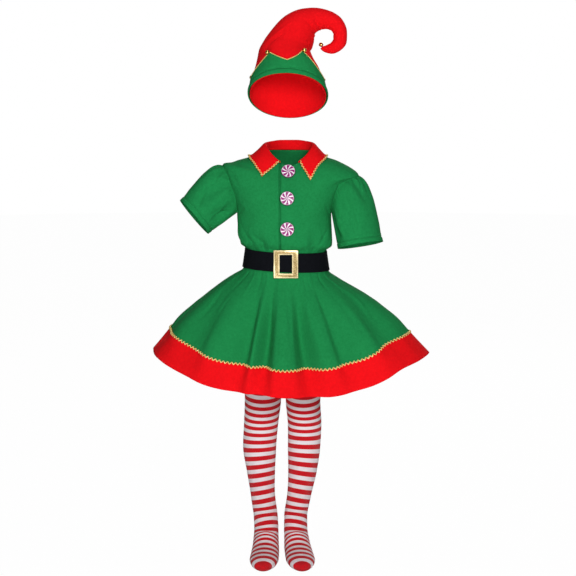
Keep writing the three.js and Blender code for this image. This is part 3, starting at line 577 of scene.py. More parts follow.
# %% [markdown]
# The armholes are loops in that surface. On the real dress they are cut into the front and back, and
# the side seam runs up to them. Here each row of a panel simply ends nearer to the middle there.

# %% Armholes and the lapped front
FELT, SEAM = 1.8, 0.32  # cloth, and the gap between sewn pieces
ARMHOLE_WIDTH = 18  # degrees cut from the front and from the back
LAP_EDGE, LAP_UNDER = -16, 13  # x of the upper and of the covered edge
LAP_STEP, LAP_REST, LAP_SLACK = 8, 1.5, 0.3


def armhole_row(turn):
    return (UNDERARM + SHOULDER) / 2 - (SHOULDER - UNDERARM) / 2 * cosine(turn)


def armhole_cut(row):
    part = np.clip((2 * row - UNDERARM - SHOULDER) / (SHOULDER - UNDERARM), -1, 1)
    return ARMHOLE_WIDTH * np.sqrt(1 - part * part)


def lap_angle(x, row):
    return np.degrees(np.arctan2(x - read(BODY, "middle", row), read(BODY, "front", row)))


def side_angle(row):
    return 90 - armhole_cut(row) - np.degrees(SEAM / 2 / read(BODY, "half_width", row))


def armhole(side, turn, under=0):
    """The sewn edge round a sleeve's head, or the line that lies this far under the bodice's edge."""
    def edge_at(t):
        return body(side * (90 - ARMHOLE_WIDTH * sine(t)), armhole_row(t))

    out = outward(body, side * (90 - ARMHOLE_WIDTH * sine(turn)), armhole_row(turn))
    inwards = np.cross(edge_at(turn + 1) - edge_at(turn - 1), out)
    inwards *= side / np.linalg.norm(inwards, axis=-1, keepdims=True)
    # The sleeve's edge stands 0.45 mm proud of the bodice, and goes down steeply where it is tucked in.
    return edge_at(turn) + inwards * (SEAM + 0.05 - under) + out * (0.45 - 1.3 * under)


BODICE_ROWS = np.concatenate([
    np.linspace(0, UNDERARM, 38)[:-1],
    armhole_row(np.linspace(0, 180, 44))[:-1],
    np.linspace(SHOULDER, NECK, 22),
])
print(len(BODICE_ROWS), "rows of bodice cloth")

# %% [markdown]
# ## The hat
#
# Two pieces of red felt, a front and a back, are sewn along the outline of the curl. Their sections
# turn from level at the rim to upright at the top and then right round, so one table with a roll
# angle describes the whole crown. Small creases stand where the inner curve is pressed together.

# %% Sections of the crown
HAT = table("""
x y z across deep roll tilt
0 2 138 88.5 98 2 33  # rim
-1 5 160 85.5 95 1 32
-2 9 190 77 86 0 29
-6 14 219 66 74 0 24
-8 18 240 60 65 0 20
0 21 256.5 56.9 58 6.6 17
11.5 23 276.3 50.6 51 16.4 13
28 25 297.5 41.7 43 37.7 8
48 26 310.8 32.5 35 58.5 4
71.5 26 315.5 25.9 27 80 0
94.5 26 312 21.5 22 107.6 0
111.8 26 302.3 18.8 19 130.7 0
121 26 283 16.6 17 166 0
120.5 26 266 16.4 16.5 195 0
112.5 26 254 15 15 228 0
98 26 247 12.4 12.4 262 0
85.5 26 247.5 8.4 8.4 290 0
77.5 26 250 4.2 4.2 310 0  # tip
""")


def hat(angle, row):
    angle, row = np.broadcast_arrays(np.asarray(angle, float), np.asarray(row, float))
    turn, roll, tilt = (np.radians(a) for a in (angle, read(HAT, "roll", row), read(HAT, "tilt", row)))
    across = xyz(np.cos(roll), 0, -np.sin(roll)) * (read(HAT, "across", row) * np.sin(turn))[..., None]
    forward = xyz(0, -np.cos(tilt), np.sin(tilt)) * (read(HAT, "deep", row) * np.cos(turn))[..., None]
    return xyz(read(HAT, "x", row), read(HAT, "y", row), read(HAT, "z", row)) + across + forward


def hat_row(angle, length):
    rows = np.linspace(0, 6, 121)  # row 6 is above the cuff
    walked = lengths(hat(angle[None, :], rows[:, None]), 0)
    return np.array([np.interp(length[:, k], walked[:, k], rows) for k in range(len(angle))]).T


CROWN_CREASES = crease_table("""
# On the front: the long diagonal line, the ones pressed up by the curl, and the soft ones below.
-62 3.4 -22 6.8 4 4 2 0
-50 3 -12 6.2 4 6 -1.4 0
82 8.5 -4 7.6 6 5 -3.6 0
82 9 -6 8.6 5 4.4 -3.4 0
78 8.75 -2 8.1 5 3.4 2.2 0
82 9.7 16 9.6 5 3.8 -2.4 0
86 7.8 26 7.2 5 4.5 -3.2 1
84 7.4 24 6.8 4 5 1.2 1
86 10.9 40 10.8 3 3.2 -1.3 1
86 12 44 12.1 3 3 -1 1
78 6.6 50 5 -5 8 -2.2 0
66 4.2 52 6 3 7 1.4 0
86 13.6 50 13.6 2 3 -0.9 1
-84 10.4 -40 10 4 4 -0.8 1
# On the back, which the photograph doesn't show.
94 8.6 158 8.1 -6 4 -2.2 1
94 9.2 166 9 -5 3.6 -2.2 1
96 8.9 172 8.5 -5 3 1.4 1
94 9.9 150 9.9 -5 3.4 -1.7 1
94 7.9 150 7.3 -5 4.5 -1.8 1
94 11.2 140 11.1 -3 3.2 -1.2 1
102 6.4 130 4.9 5 8 -2 0
240 3.6 200 6.6 -4 6 1.2 0
228 3 190 5.4 -4 6 -1 0
94 12.6 138 12.6 -3 3 -0.9 1
""")


def crown_piece(side, start, end, shift):
    angles = np.linspace(start, end, 64)[None, :]
    rows = np.concatenate([np.linspace(0.02, 7, 62)[:-1], np.linspace(7, 17, 78)])[:, None]
    points = hat(angles, rows)
    walked = lengths(points, 1)
    edge = np.minimum(walked, walked[:, -1:] - walked)
    # Where the curl is thin, the seam dips less.
    lift = sewn_edge(edge, 0.8, 4) * np.clip(walked[:, -1:] / 40, 0, 1)
    points = points + facing(points) * lift[..., None]
    here = np.abs(CROWN_CREASES["u0"] - (start + end) / 2) <= 90
    creased = crease(points, hat, {name: column[here] for name, column in CROWN_CREASES.items()})
    points = points + (creased - points) * ease(edge, 0, 3.5)[..., None]  # the seam stays a calm line
    points[..., 1] += shift * SEAM / 2
    cloth(lay("crown_" + side, points), FELT, "hat_crown_" + side, red_felt, (0.36, 0.40))


crown_piece("front", -90, 90, -1)
crown_piece("back", 90, 270, 1)

# %% [markdown]
# The cuff is a green band round the rim whose upper edge is cut in five points. Its lower edge is
# turned in and stitched 11 mm up, so a soft roll lies below the stitches.

# %% Pointed cuff
CUFF_POINTS = [(31, 66), (107, 60), (180, 60), (253, 60), (329, 58)]  # angle, height
CUFF_VALLEY, CUFF_POINT_SPAN = 31, 37
CUFF_OFF, CUFF_WALL, CUFF_HEM = 1.2, 2.0, 11
CUFF_ROLL = 2.6  # thickness of the turned hem
CUFF_LEVEL = 15  # up to here the rows of the grid are level, and above they follow the points


def cuff_height(angle):
    rises = []
    for at, height in CUFF_POINTS:
        near = np.clip(1 - np.abs(turn_between(angle, at)) / CUFF_POINT_SPAN, 0, 1)
        rises.append((height - CUFF_VALLEY) * near**1.6)
    return CUFF_VALLEY + np.max(rises, axis=0)


def on_cuff(angle, length, lift):
    row = hat_row(angle, length)
    angles = np.broadcast_to(angle, row.shape)
    return hat(angles, row) + outward(hat, angles, row) * np.asarray(lift)[..., None]


cuff_angles = np.linspace(0, 360, 217)
heights = cuff_height(cuff_angles)[None, :]
low = np.linspace(0, CUFF_LEVEL, 14)[:, None] + 0 * heights
high = CUFF_LEVEL + (heights - CUFF_LEVEL) * np.linspace(0, 1, 20)[1:, None]
cuff_up = np.concatenate([low, high])
# The turned hem is a soft roll. The stitches above it and the cut edge dip.
roll = CUFF_ROLL * np.sqrt(np.clip(1 - ((cuff_up - CUFF_HEM / 2) / (CUFF_HEM / 2 + 0.8)) ** 2, 0, 1))
cuff_lift = roll + sewn_edge(cuff_up - CUFF_HEM - 1, 1.3, 3) + sewn_edge(heights - cuff_up, 0.5, 2.5)
cuff_points = on_cuff(cuff_angles, cuff_up, CUFF_OFF + CUFF_WALL + cuff_lift)
CUFF_CREASES = crease_table("""
-8 0.75 16 0.7 0 7 -1.5 0
-32 0.9 -24 0.35 2 6 0.8 0
-66 0.8 -50 0.45 -3 6 -1 0
52 0.9 64 0.4 2 7 -1.1 0
34 1.3 28 0.5 2 5 0.8 0
88 0.5 76 1.1 0 6 0.7 0
110 0.8 128 0.5 3 6 -1.1 0
152 1.2 146 0.5 0 5 0.8 0
176 0.7 196 0.75 0 7 -1.3 0
214 1.1 222 0.5 2 6 0.8 0
246 0.8 262 0.5 3 6 -1 0
""")
cuff_points = crease(cuff_points, hat, CUFF_CREASES, ring=True)
cuff = lay("pointed_cuff", cuff_points, up=cuff_up, ring=True)
cloth(cuff, CUFF_WALL, "hat_cuff", green_hemmed, (0.59, 0.068))

# %% [markdown]
# ## The collar
#
# The collar stands up from the neck seam, folds over and falls onto the shoulders, with a point on
# each side of the front. Nine places describe its profile at each angle: up the stand, over the fold
# and down to the outer edge, which follows the bodice a few millimetres above it.

# %% Profiles of the collar
COLLAR = table("""
angle stand edge_angle edge_row
24 1.5 39 6.95
46 5 47.5 7.65
68 10 61 8.45
90 14 87 8.95
112 16 112 8.7
134 18 135 8.4
157 20 158 8.2
180 20 180 8.15
""")
COLLAR_FRONT, COLLAR_OFF, COLLAR_WALL = 24, 3.2, 1.8


def collar_profile(angle):
    row = (np.minimum(angle, 360 - angle) - COLLAR_FRONT) * 7 / (180 - COLLAR_FRONT)
    stand, near = read(COLLAR, "stand", row), read(COLLAR, "edge_angle", row)
    edge_angle = np.where(angle > 180, 360 - near, near)
    edge_row = read(COLLAR, "edge_row", row)
    neck = body(angle, NECK) - outward(body, angle, NECK - 0.02) * FELT / 2
    level = xyz(sine(angle), -cosine(angle), 0)

    def up(height, width):
        return neck + level * width + xyz(0, 0, height)

    def over(f, off):
        at = (angle + (edge_angle - angle) * f**0.7, NECK + (edge_row - NECK) * f)
        return body(*at) + outward(body, *at) * np.asarray(off)[..., None]

    return np.stack([
        up(COLLAR_WALL / 2 + 0.5, 0), up(stand * 0.6 + 1.2, 0.6), up(stand + 2.4, 2.2),
        up(stand + 3.4, 5), up(stand + 1.8, 8), over(0.36, COLLAR_OFF + 1.5 + stand * 0.42),
        over(0.58, COLLAR_OFF + 1.2 + stand * 0.18), over(0.8, COLLAR_OFF + 0.6 + 0 * stand),
        over(1, COLLAR_OFF + 0 * stand),
    ])


def collar_grid(angles, parts):
    profile = collar_profile(angles)
    columns = [
        [read({"places": profile[:, k, axis]}, "places", parts * 8) for axis in range(3)]
        for k in range(len(angles))
    ]
    return np.array(columns).transpose(2, 0, 1)


# Seen from outside, the fall is the inner face of the way up, so the columns run backwards.
collar_angles = np.linspace(360 - COLLAR_FRONT, COLLAR_FRONT, 170)
collar_points = collar_grid(collar_angles, np.linspace(0, 1, 44))
collar_out = facing(collar_points)
fall = lengths(collar_points, 0)
wave = 0.5 * sine(collar_angles * 5)[None, :] * ease(fall, 20, 45)
collar_points = collar_points + collar_out * (COLLAR_WALL / 2 + wave)[..., None]
collar_piece = lay("turned_collar", collar_points)
cloth(collar_piece, COLLAR_WALL, "collar", red_felt, (0.50, 0.085))

# %% [markdown]
# ## The bodice panels
#
# A maker cuts two fronts and one back. The wearer's left front laps over the right one down a plain
# placket, and both are eased onto the waist seam under the belt. The cloth is smooth on the chest. It
# is drawn in at the belt by short gathers, and a few creases run from them towards the armholes.

# %% Two fronts and a back
def gathers(angle, row, rows):
    lift = 0 * angle
    for middle, width, height, depth in each(rows):
        lift = lift + depth * swell(turn_between(angle, middle) / width) * (
            ease(row, 0.95, 1.15) * (1 - ease(row, 1.4, 1.4 + height))
        )
    return lift


GATHERS_FRONT = table("""
angle width height depth
-80 3.4 1.2 1.6
-71 2.6 0.8 -1.4
-62 3.8 1.5 1.8
-52 2.7 1 -1.6
-44 3 0.7 1.2
-35 3.4 1.3 -1.7
-27 2.6 0.8 1.3
-18 2.4 0.6 -1
-3 2.6 0.5 0.8
8 3 0.8 -1.2
17 2.6 0.7 1.2
26 3.2 1.2 -1.6
35 2.8 0.9 1.5
44 3.4 1.4 -1.9
53 2.8 0.9 1.5
63 3.6 1.3 -1.7
72 2.8 0.8 1.3
81 3 1.2 -1.2
""")
GATHERS_BACK = table("""
angle width height depth
99 3.2 1.1 1.5
109 2.8 0.8 -1.4
119 3.6 1.4 1.7
130 2.8 0.9 -1.6
139 3 0.7 1.3
149 3.6 1.3 -1.8
160 2.6 0.8 1.3
169 3 1 -1.4
179 3.4 1.2 1.6
189 2.6 0.7 -1.3
198 3.2 1.1 1.5
209 3 0.9 -1.6
219 3.6 1.4 1.7
229 2.6 0.7 -1.3
239 3.2 1 1.5
250 3 1.2 -1.6
261 2.8 0.8 1.2
""")
RIGHT_CREASES = crease_table("""
-48 1.6 -66 3.6 3 7 -2.6 0
-62 1.8 -74 3.5 -2 6 1.8 0
-32 1.7 -50 3.1 2 6 -1.6 0
-74 3.9 -58 4.6 1 6 -1.4 0
-70 6.6 -52 5.6 -2 8 -1.4 1
-66 5 -54 4.3 2 8 1 0
""")
LEFT_CREASES = crease_table("""
46 1.6 66 3.4 -3 7 -2.2 0
34 1.6 50 2.7 -2 6 -1.5 0
60 1.7 76 3.2 2 6 1.8 0
76 3.8 58 4.8 -1 7 -1.4 0
72 6.5 54 5.4 2 8 -1.2 1
20 1.7 27 2.5 1 5 -1 0
""")
BACK_CREASES = crease_table("""
132 1.7 112 3.6 -2 7 -2.4 0
150 1.6 142 2.9 2 6 -1.5 0
226 1.7 246 3.5 3 7 -2.5 0
208 1.6 214 2.8 -2 6 -1.4 0
112 6.3 132 5.3 2 8 -1.3 1
248 6.3 228 5.4 -2 8 -1.3 1
108 4.3 126 4.9 2 8 1 0
252 4.3 234 4.9 -2 8 1 0
178 9.4 181 8.4 1 9 -0.8 0
""")
LAP_DIP, LAP_DIP_OFF, LAP_DIP_WIDTH = 5, 1.6, 3.4  # beside the lap's edge, on the front that lies under it


def bodice_piece(
    name, node, left, right, columns, gather_rows, creases, flat, seams=(True, True), under=False
):
    f, row = np.broadcast_arrays(np.linspace(0, 1, columns)[None, :], BODICE_ROWS[:, None])
    angle = left(row) * (1 - f) + right(row) * f
    points = body(angle, row)
    lift = gathers(angle, row, gather_rows)
    walked = lengths(points, 1)
    # The armhole dips less than the side seam.
    dip = 0.7 - 0.45 * ease(row, UNDERARM - 0.5, UNDERARM + 0.5)
    for is_seam, distance in zip(seams, (walked, walked[:, -1:] - walked)):
        if is_seam:
            lift = lift + sewn_edge(distance, dip)
    if under:
        x = points[..., 0]
        lift = lift - (FELT + SEAM + LAP_SLACK) * ease(x, LAP_EDGE - LAP_STEP, LAP_EDGE - LAP_REST)
        lift = lift + sewn_edge(x - LAP_EDGE + LAP_DIP_OFF, LAP_DIP, LAP_DIP_WIDTH)
    points = points + facing(points) * lift[..., None]
    piece = lay(name, turn_in(crease(points, body, creases), seams))
    cloth(piece, FELT, node, green_felt, flat)


bodice_piece(
    "right_front", "bodice_front_right", lambda r: -side_angle(r), lambda r: lap_angle(LAP_UNDER, r), 72,
    GATHERS_FRONT, RIGHT_CREASES, (0.22, 0.27), seams=(True, False), under=True,
)
bodice_piece(
    "left_front", "bodice_front_left", lambda r: lap_angle(LAP_EDGE, r), side_angle, 72,
    GATHERS_FRONT, LEFT_CREASES, (0.21, 0.27), seams=(False, True),
)
bodice_piece(
    "back", "bodice_back", lambda r: 180 - side_angle(r), lambda r: 180 + side_angle(r), 110,
    GATHERS_BACK, BACK_CREASES, (0.39, 0.28),
)

# %% [markdown]
# ## Puffed sleeves
#
# Each sleeve is one piece of cloth closed by a seam under the arm. Its upper edge is longer than the
# armhole and is drawn in by small gathers, so the head stands up. The lower edge is turned in and
# stitched. The two arms hang differently, so each sleeve has its own hem oval and its own folds.

# %% Sleeve surfaces
SLEEVES = {
    "right": dict(
        side=-1, mid=(-219, -6, -142), rim=(-32, -4, 39.5), fore=(7, -49, 5),
        folds=table("""
turn width part length depth
150 24 0.38 0.42 4
122 18 0.42 0.46 -6
92 20 0.5 0.5 4
60 22 0.42 0.45 -6
28 20 0.5 0.5 3
215 22 0.45 0.5 -5
255 24 0.5 0.5 4
298 22 0.45 0.5 -5
"""),
        creases=crease_table("""
172 0.02 150 0.5 5 6 -3.8 1
150 0.02 128 0.42 -4 5 -3.2 1
190 0.02 200 0.4 4 6 -3.2 1
132 0.45 104 0.84 6 7 -3.2 0
80 0.3 68 0.8 -5 7 2.6 0
44 0.18 66 0.72 6 6 -2.9 0
232 0.05 246 0.6 5 7 -3.2 1
284 0.2 268 0.8 -5 7 2.6 0
318 0.1 300 0.6 4 6 -2.9 1
"""),
    ),
    "left": dict(
        side=1, mid=(169.5, -8, -207.5), rim=(52.5, 3, 8.5), fore=(-8, -50, 9),
        folds=table("""
turn width part length depth
152 20 0.26 0.3 -5
125 20 0.4 0.45 4
96 18 0.5 0.5 -4
66 20 0.55 0.5 4
40 18 0.45 0.5 -5
212 22 0.4 0.5 -5
250 24 0.5 0.5 4
296 22 0.5 0.5 -5
"""),
        creases=crease_table("""
176 0.02 160 0.42 -4 6 -2.4 1
158 0.03 136 0.36 3 5 -2.2 1
138 0.04 118 0.6 -6 6 1.8 1
112 0.22 100 0.82 5 7 -2 0
72 0.12 84 0.7 -5 6 -1.8 0
48 0.3 60 0.8 4 7 1.6 0
200 0.03 216 0.5 5 6 -2.2 1
244 0.15 258 0.75 -5 7 -1.8 0
300 0.1 288 0.65 5 7 1.6 0
"""),
    ),
}
PUFF = {"rise": np.array([0, 9, 13, 14, 12, 9, 6, 2, 0])}  # at the top, from the head to the hem
SLEEVE_HEM = 12  # depth of the turned hem
TUCK = 2.2  # how far the head reaches in under the armhole's edge
DEEP_GATHERS, SMALL_GATHERS = (14, 2.2), (31, 0.9)  # number round the sleeve, height


def sleeve_surface(sleeve, turn, part):
    turn, part = np.broadcast_arrays(np.asarray(turn, float), np.asarray(part, float))
    mid, rim, fore = (np.array(sleeve[k], float) for k in ("mid", "rim", "fore"))
    c, s = cosine(turn)[..., None], sine(turn)[..., None]
    hem, head = mid - rim * c + fore * s, armhole(sleeve["side"], turn)
    place = head + (hem - head) * part[..., None]
    middle = armhole(sleeve["side"], np.array([0.0, 180.0])).mean(0)
    radial = place - (middle + (mid - middle) * part[..., None])
    radial /= np.linalg.norm(radial, axis=-1, keepdims=True)
    top = (1 - c[..., 0]) / 2
    rise = read(PUFF, "rise", part * 8) * top
    for fold, width, middle_part, length, depth in each(sleeve["folds"]):
        across = swell(turn_between(turn, fold) / width)
        rise = rise + depth * across * swell((part - middle_part) / length) * ease(part, 0, 0.12)
    near = ease(part, 0, 0.08) * (1 - ease(part, 0.1, 0.42))
    count, height = DEEP_GATHERS
    rise = rise + height * cosine(turn * count) * ease(top, 0.45, 0.8) * near
    # Between the deep gathers the running stitch leaves small, uneven ones.
    count, height = SMALL_GATHERS
    small = cosine(turn * count + 40 * sine(turn * 3)) * ease(top, 0.3, 0.6)
    rise = rise + height * small * ease(part, 0, 0.03) * (1 - ease(part, 0.05, 0.2))
    return place + radial * rise[..., None]


# %% Cut, hem and finish both sleeves
def sleeve_piece(key, flat):
    sleeve = SLEEVES[key]
    turns = np.linspace(0, 360, 133)[None, :][:, :: -sleeve["side"]]
    length = lengths(sleeve_surface(sleeve, 180.0, np.linspace(0, 1, 50))[:, None], 0)[-1, 0]
    hem_part = SLEEVE_HEM / length
    fine = 1 - 1.6 * hem_part  # from here on the rows are closer
    parts = np.concatenate([np.linspace(0, fine, 44)[:-1], np.linspace(fine, 1, 14)])
    grid_turns, grid_parts = np.broadcast_arrays(turns, parts[:, None])
    points = sleeve_surface(sleeve, grid_turns, grid_parts)
    up = lengths(points, 0)
    to_hem = up[-1:] - up
    doubled = 0.6 * (1 - ease(to_hem, SLEEVE_HEM - 1.5, SLEEVE_HEM))
    stitched = sewn_edge(to_hem - SLEEVE_HEM, 0.8, 2.5)
    points = points + facing(points, ring=True) * (sewn_edge(up, 0.3, 3) + doubled + stitched)[..., None]
    points = crease(points, lambda u, v: sleeve_surface(sleeve, u, v), sleeve["creases"], ring=True)
    tucked = armhole(sleeve["side"], grid_turns[:1], TUCK)
    points, to_hem = np.concatenate([tucked, points]), np.concatenate([to_hem[:1] + TUCK, to_hem])
    piece = lay(key + "_sleeve", points, up=to_hem, ring=True)
    cloth(piece, FELT, "sleeve_" + key, green_hemmed, flat)


sleeve_piece("right", (0.36, 0.17))
sleeve_piece("left", (0.37, 0.20))

# %% [markdown]
# ## The skirt and its hem band
#
# The skirt is cut as flared panels, so it has much more cloth at the hem than at the waist. The spare
# cloth falls in deep folds that start below the belt. Each line from waist to hem swings out to its
# own slope, and a table of folds pushes it in or out. Nothing here is even: the deepest valleys lie
# left and right of the front, and shallow ones run under the arms.

# %% Skirt surface
WAIST = dict(middle=-4.7, half_width=96.4, depth=81.4, top=-240.7)
UNDER_BELT, SKIRT_LENGTH, LONGER_LEFT, BAND = 22, 300, 8, 64
DROOP = 15  # at the sides, degrees more than the slope at the top and less at the hem
TOP_SLOPE = 8  # degrees from upright, just below the waist seam
FLARE_START, FLARE_END, SOONER_AT_SIDES = 21, 72, 36  # mm from the seam, where the slope opens out
SLICES = 16  # of the way from the waist to the hem
FOLD_FULL, FOLD_AT_HEM = 0.7, 0.45  # where a fold is full, and what the band's weight leaves of it
DROP_AT_SIDES = 0.3  # of a fold's depth
LEAN = 0.04  # the wearer's left side hangs lower
# Degrees from upright every 20 degrees round, from the middle of the back over the right side.
FLARE = {"slope": np.array([
    34, 36, 40, 46, 50.3, 49.3, 42.1, 33.8, 30.9, 29.3, 29.9, 36.3, 50, 53.1, 46.5, 42, 39, 35.5, 34
])}
SKIRT_FOLDS = table("""
angle width depth start drift
-86 10 -3 0.3 0
-70 12 -10 0.06 11
-50 10 9 0.1 4
-34 9 -22 0.07 6
-23 6 7 0.1 1
-16 8 -29 0.06 1
-3 11 14 0.1 1
12 9 -32 0.06 3
27 9 11 0.12 0
37 7 -10 0.1 1
48 9 8 0.15 0
64 10 -14 0.06 -5
77 8 4 0.2 0
90 9 -3 0.3 0
105 10 4 0.3 0
121 9 -14 0.12 2
138 10 9 0.25 0
153 9 -22 0.08 -2
168 10 12 0.15 0
183 9 -21 0.08 1
200 11 10 0.2 0
216 9 -21 0.08 -2
232 10 9 0.25 0
247 9 -9 0.2 2
262 9 3 0.3 0
""")


def skirt(angle, part):
    angle, part = np.broadcast_arrays(np.asarray(angle, float), np.asarray(part, float))
    s, c = sine(angle), cosine(angle)
    slope = read(FLARE, "slope", (turn_between(angle, 0) + 180) / 20)
    length = UNDER_BELT + SKIRT_LENGTH + LONGER_LEFT * s
    out, drop, pushed = 0 * angle, 0 * angle, 0 * angle
    for i in range(SLICES):
        walked = part * length * (i + 0.5) / SLICES
        full = slope + DROOP * s * s * (1 - 2 * walked / length)
        opened = ease(walked, FLARE_START, FLARE_END - SOONER_AT_SIDES * s * s)
        steep = TOP_SLOPE + (full - TOP_SLOPE) * opened
        out = out + sine(steep) * part * length / SLICES
        drop = drop + cosine(steep) * part * length / SLICES
    for middle, width, depth, start, drift in each(SKIRT_FOLDS):
        across = swell(turn_between(angle, middle + drift * part) / width)
        pushed = pushed + depth * across * ease(part, start, FOLD_FULL)
    pushed = pushed * (1 - (1 - FOLD_AT_HEM) * ease(part, FOLD_FULL, 1))
    out = out + pushed
    drop = drop - DROP_AT_SIDES * pushed * s * s
    x = WAIST["middle"] + (WAIST["half_width"] + out) * s
    z = WAIST["top"] - drop - LEAN * x * (1 - ease(part, 0.1, 0.5))
    return xyz(x, -(WAIST["depth"] + out) * c, z)


def skirt_up(angle, up):
    return skirt(angle, 1 - np.asarray(up, float))


BAND_PART = BAND / (UNDER_BELT + SKIRT_LENGTH)
BAND_SEAM = 0.55  # a little wider than the other seams, because the folds twist it
SEAM_PART = BAND_SEAM / (UNDER_BELT + SKIRT_LENGTH)

# %% Small gathers under the belt and shallow creases between the folds
SKIRT_GATHERS = table("""
angle width depth reach
-82 3 -1.4 0.5
-74 2.6 1.2 0.34
-60 3.2 -1.6 0.5
-46 2.8 1.4 0.42
-34 2.6 -1.5 0.38
-25 2.4 1.2 0.3
-9 2.4 1.2 0.32
1 2.8 -1.4 0.36
17 2.6 1.4 0.34
24 2.4 -1.2 0.3
33 3 1.4 0.46
48 2.8 -1.5 0.4
64 3.2 1.5 0.46
78 2.8 -1.4 0.4
96 3 1.3 0.42
112 2.8 -1.4 0.36
129 3.2 1.5 0.46
144 2.8 -1.4 0.36
160 2.6 1.3 0.34
175 3 -1.5 0.4
191 2.8 1.4 0.38
207 3.2 -1.6 0.46
224 2.8 1.4 0.36
238 2.6 -1.3 0.34
254 3 1.4 0.42
266 2.6 -1.2 0.36
""")
SKIRT_CREASES = crease_table("""
-72 0.72 -70 0.36 2 9 -1.8 0
-58 0.8 -60 0.5 -1 8 1.4 0
-30 0.78 -31 0.42 1 8 -1.6 0
-11 0.84 -12 0.5 -1 7 1.3 0
2 0.8 3 0.38 1 9 -1.5 0
19 0.82 20 0.46 1 8 1.4 0
31 0.86 36 0.5 2 8 -1.8 0
50 0.7 52 0.3 -2 10 -1.5 0
66 0.82 62 0.4 2 9 1.6 0
80 0.7 79 0.34 1 9 -1.4 0
100 0.76 98 0.4 -1 9 -1.5 0
130 0.8 131 0.44 1 9 1.5 0
146 0.74 146 0.36 -1 8 -1.4 0
176 0.82 175 0.5 1 8 1.4 0
193 0.7 192 0.34 1 9 -1.5 0
208 0.8 208 0.46 -1 8 1.3 0
225 0.76 226 0.38 1 9 -1.6 0
240 0.82 239 0.5 1 8 1.3 0
256 0.72 255 0.36 -1 9 -1.4 0
""")  # v is the part from the hem up


def skirt_piece(name, node, start, end, ups, slot, finish, flat):
    angles, ups = np.broadcast_arrays(np.linspace(start, end, 214)[None, :], ups[:, None])
    points = skirt_up(angles, ups)
    lift, down = 0 * angles, 1 - ups
    for middle, width, depth, reach in each(SKIRT_GATHERS):
        # The belt covers the first part and presses it flat.
        fade = ease(down, 0.06, 0.1) * (1 - ease(down, 0.12, reach))
        lift = lift + depth * swell(turn_between(angles, middle) / width) * fade
    walked = lengths(points, 1)
    lift = lift + sewn_edge(np.minimum(walked, walked[:, -1:] - walked), 0.8, 5)
    points = points + facing(points) * lift[..., None]
    piece = lay(name, turn_in(crease(points, skirt_up, SKIRT_CREASES)))
    cloth(piece, FELT, node, finish, flat)


panel_ups = np.linspace(BAND_PART + SEAM_PART, 1, 62)
band_ups = np.linspace(0, BAND_PART, 18)
SIDE_GAP = 0.045  # degrees from each panel's edge to the middle of the side seam
for name, node, ups, slot, finish, flat in (
    ("skirt", "skirt", panel_ups, "green_felt", green_felt, (0.80, 0.34)),
    ("band", "hem_band", band_ups, "red_felt", red_felt, (0.96, 0.085)),
):
    for side, start in (("front", -90), ("back", 90)):
        edges = start + SIDE_GAP, start + 180 - SIDE_GAP
        skirt_piece(f"{name}_{side}_panel", f"{node}_{side}", *edges, ups, slot, finish, flat)

# %% [markdown]
# ## Belt and buckle
#
# The belt is ribbed elastic webbing, 45 mm wide. Its ribs stand across the belt and its two edges are
# bound a little thicker. The buckle is a moulded frame with a raised border inside and outside, and
# gold glitter in the channel between them. The frame is modelled as by hand: a flat rectangle is
# inset for the opening, the opening is deleted, the frame is extruded, and its channel is inset and
# pushed back.

# %% Belt
BELT = dict(top=-218.2, bottom=-262.2, width=94, depth=82.4, wall=2.2, widens=6.4, deepens=2.8)


def belt_at(angle, down, out):
    x = WAIST["middle"] + (BELT["width"] + out + BELT["widens"] * down) * sine(angle)
    y = -(BELT["depth"] + out + BELT["deepens"] * down) * cosine(angle)
    return xyz(x, y, BELT["top"] + (BELT["bottom"] - BELT["top"]) * down - LEAN * x)


angles, down = np.broadcast_arrays(np.linspace(0, 360, 181)[None, :], np.linspace(1, 0, 19)[:, None])
bound_edge = 0.35 * (1 - ease(np.minimum(down, 1 - down), 0.04, 0.09))
webbing_points = belt_at(angles, down, BELT["wall"] - 0.3 + bound_edge)
belt = lay("belt_webbing", webbing_points, ring=True)
cloth(belt, 2.0, "belt", black_webbing, (0.62, 0.05))

# %% Buckle frame
def select_faces(piece, wanted):
    mesh = bmesh.from_edit_mesh(piece.data)
    for face in mesh.faces:
        face.select = bool(wanted(face))
    bmesh.update_edit_mesh(piece.data)


def soften(piece, width, segments, sharp):
    """Bevel the edges, and shade all but those sharper than this many degrees as round."""
    only(piece)
    bevel = piece.modifiers.new("soft edges", "BEVEL")
    bevel.width, bevel.segments, bevel.limit_method = width * MM, segments, "ANGLE"
    bpy.ops.object.modifier_apply(modifier=bevel.name)
    bpy.ops.object.shade_smooth_by_angle(angle=np.radians(sharp))


BORDER = 2.6  # width of the raised borders
bpy.ops.object.select_all(action="DESELECT")
bpy.ops.mesh.primitive_plane_add(size=1, rotation=(np.pi / 2, 0, 0))
buckle = bpy.context.object
buckle.name = buckle.data.name = "buckle_frame"
buckle.scale = (BUCKLE["width"] * MM, BUCKLE["height"] * MM, 1)
bpy.ops.object.transform_apply()
bpy.ops.object.mode_set(mode="EDIT")
bpy.ops.mesh.select_all(action="SELECT")
bpy.ops.mesh.inset(thickness=(BUCKLE["width"] - BUCKLE["hole_width"]) / 2 * MM)
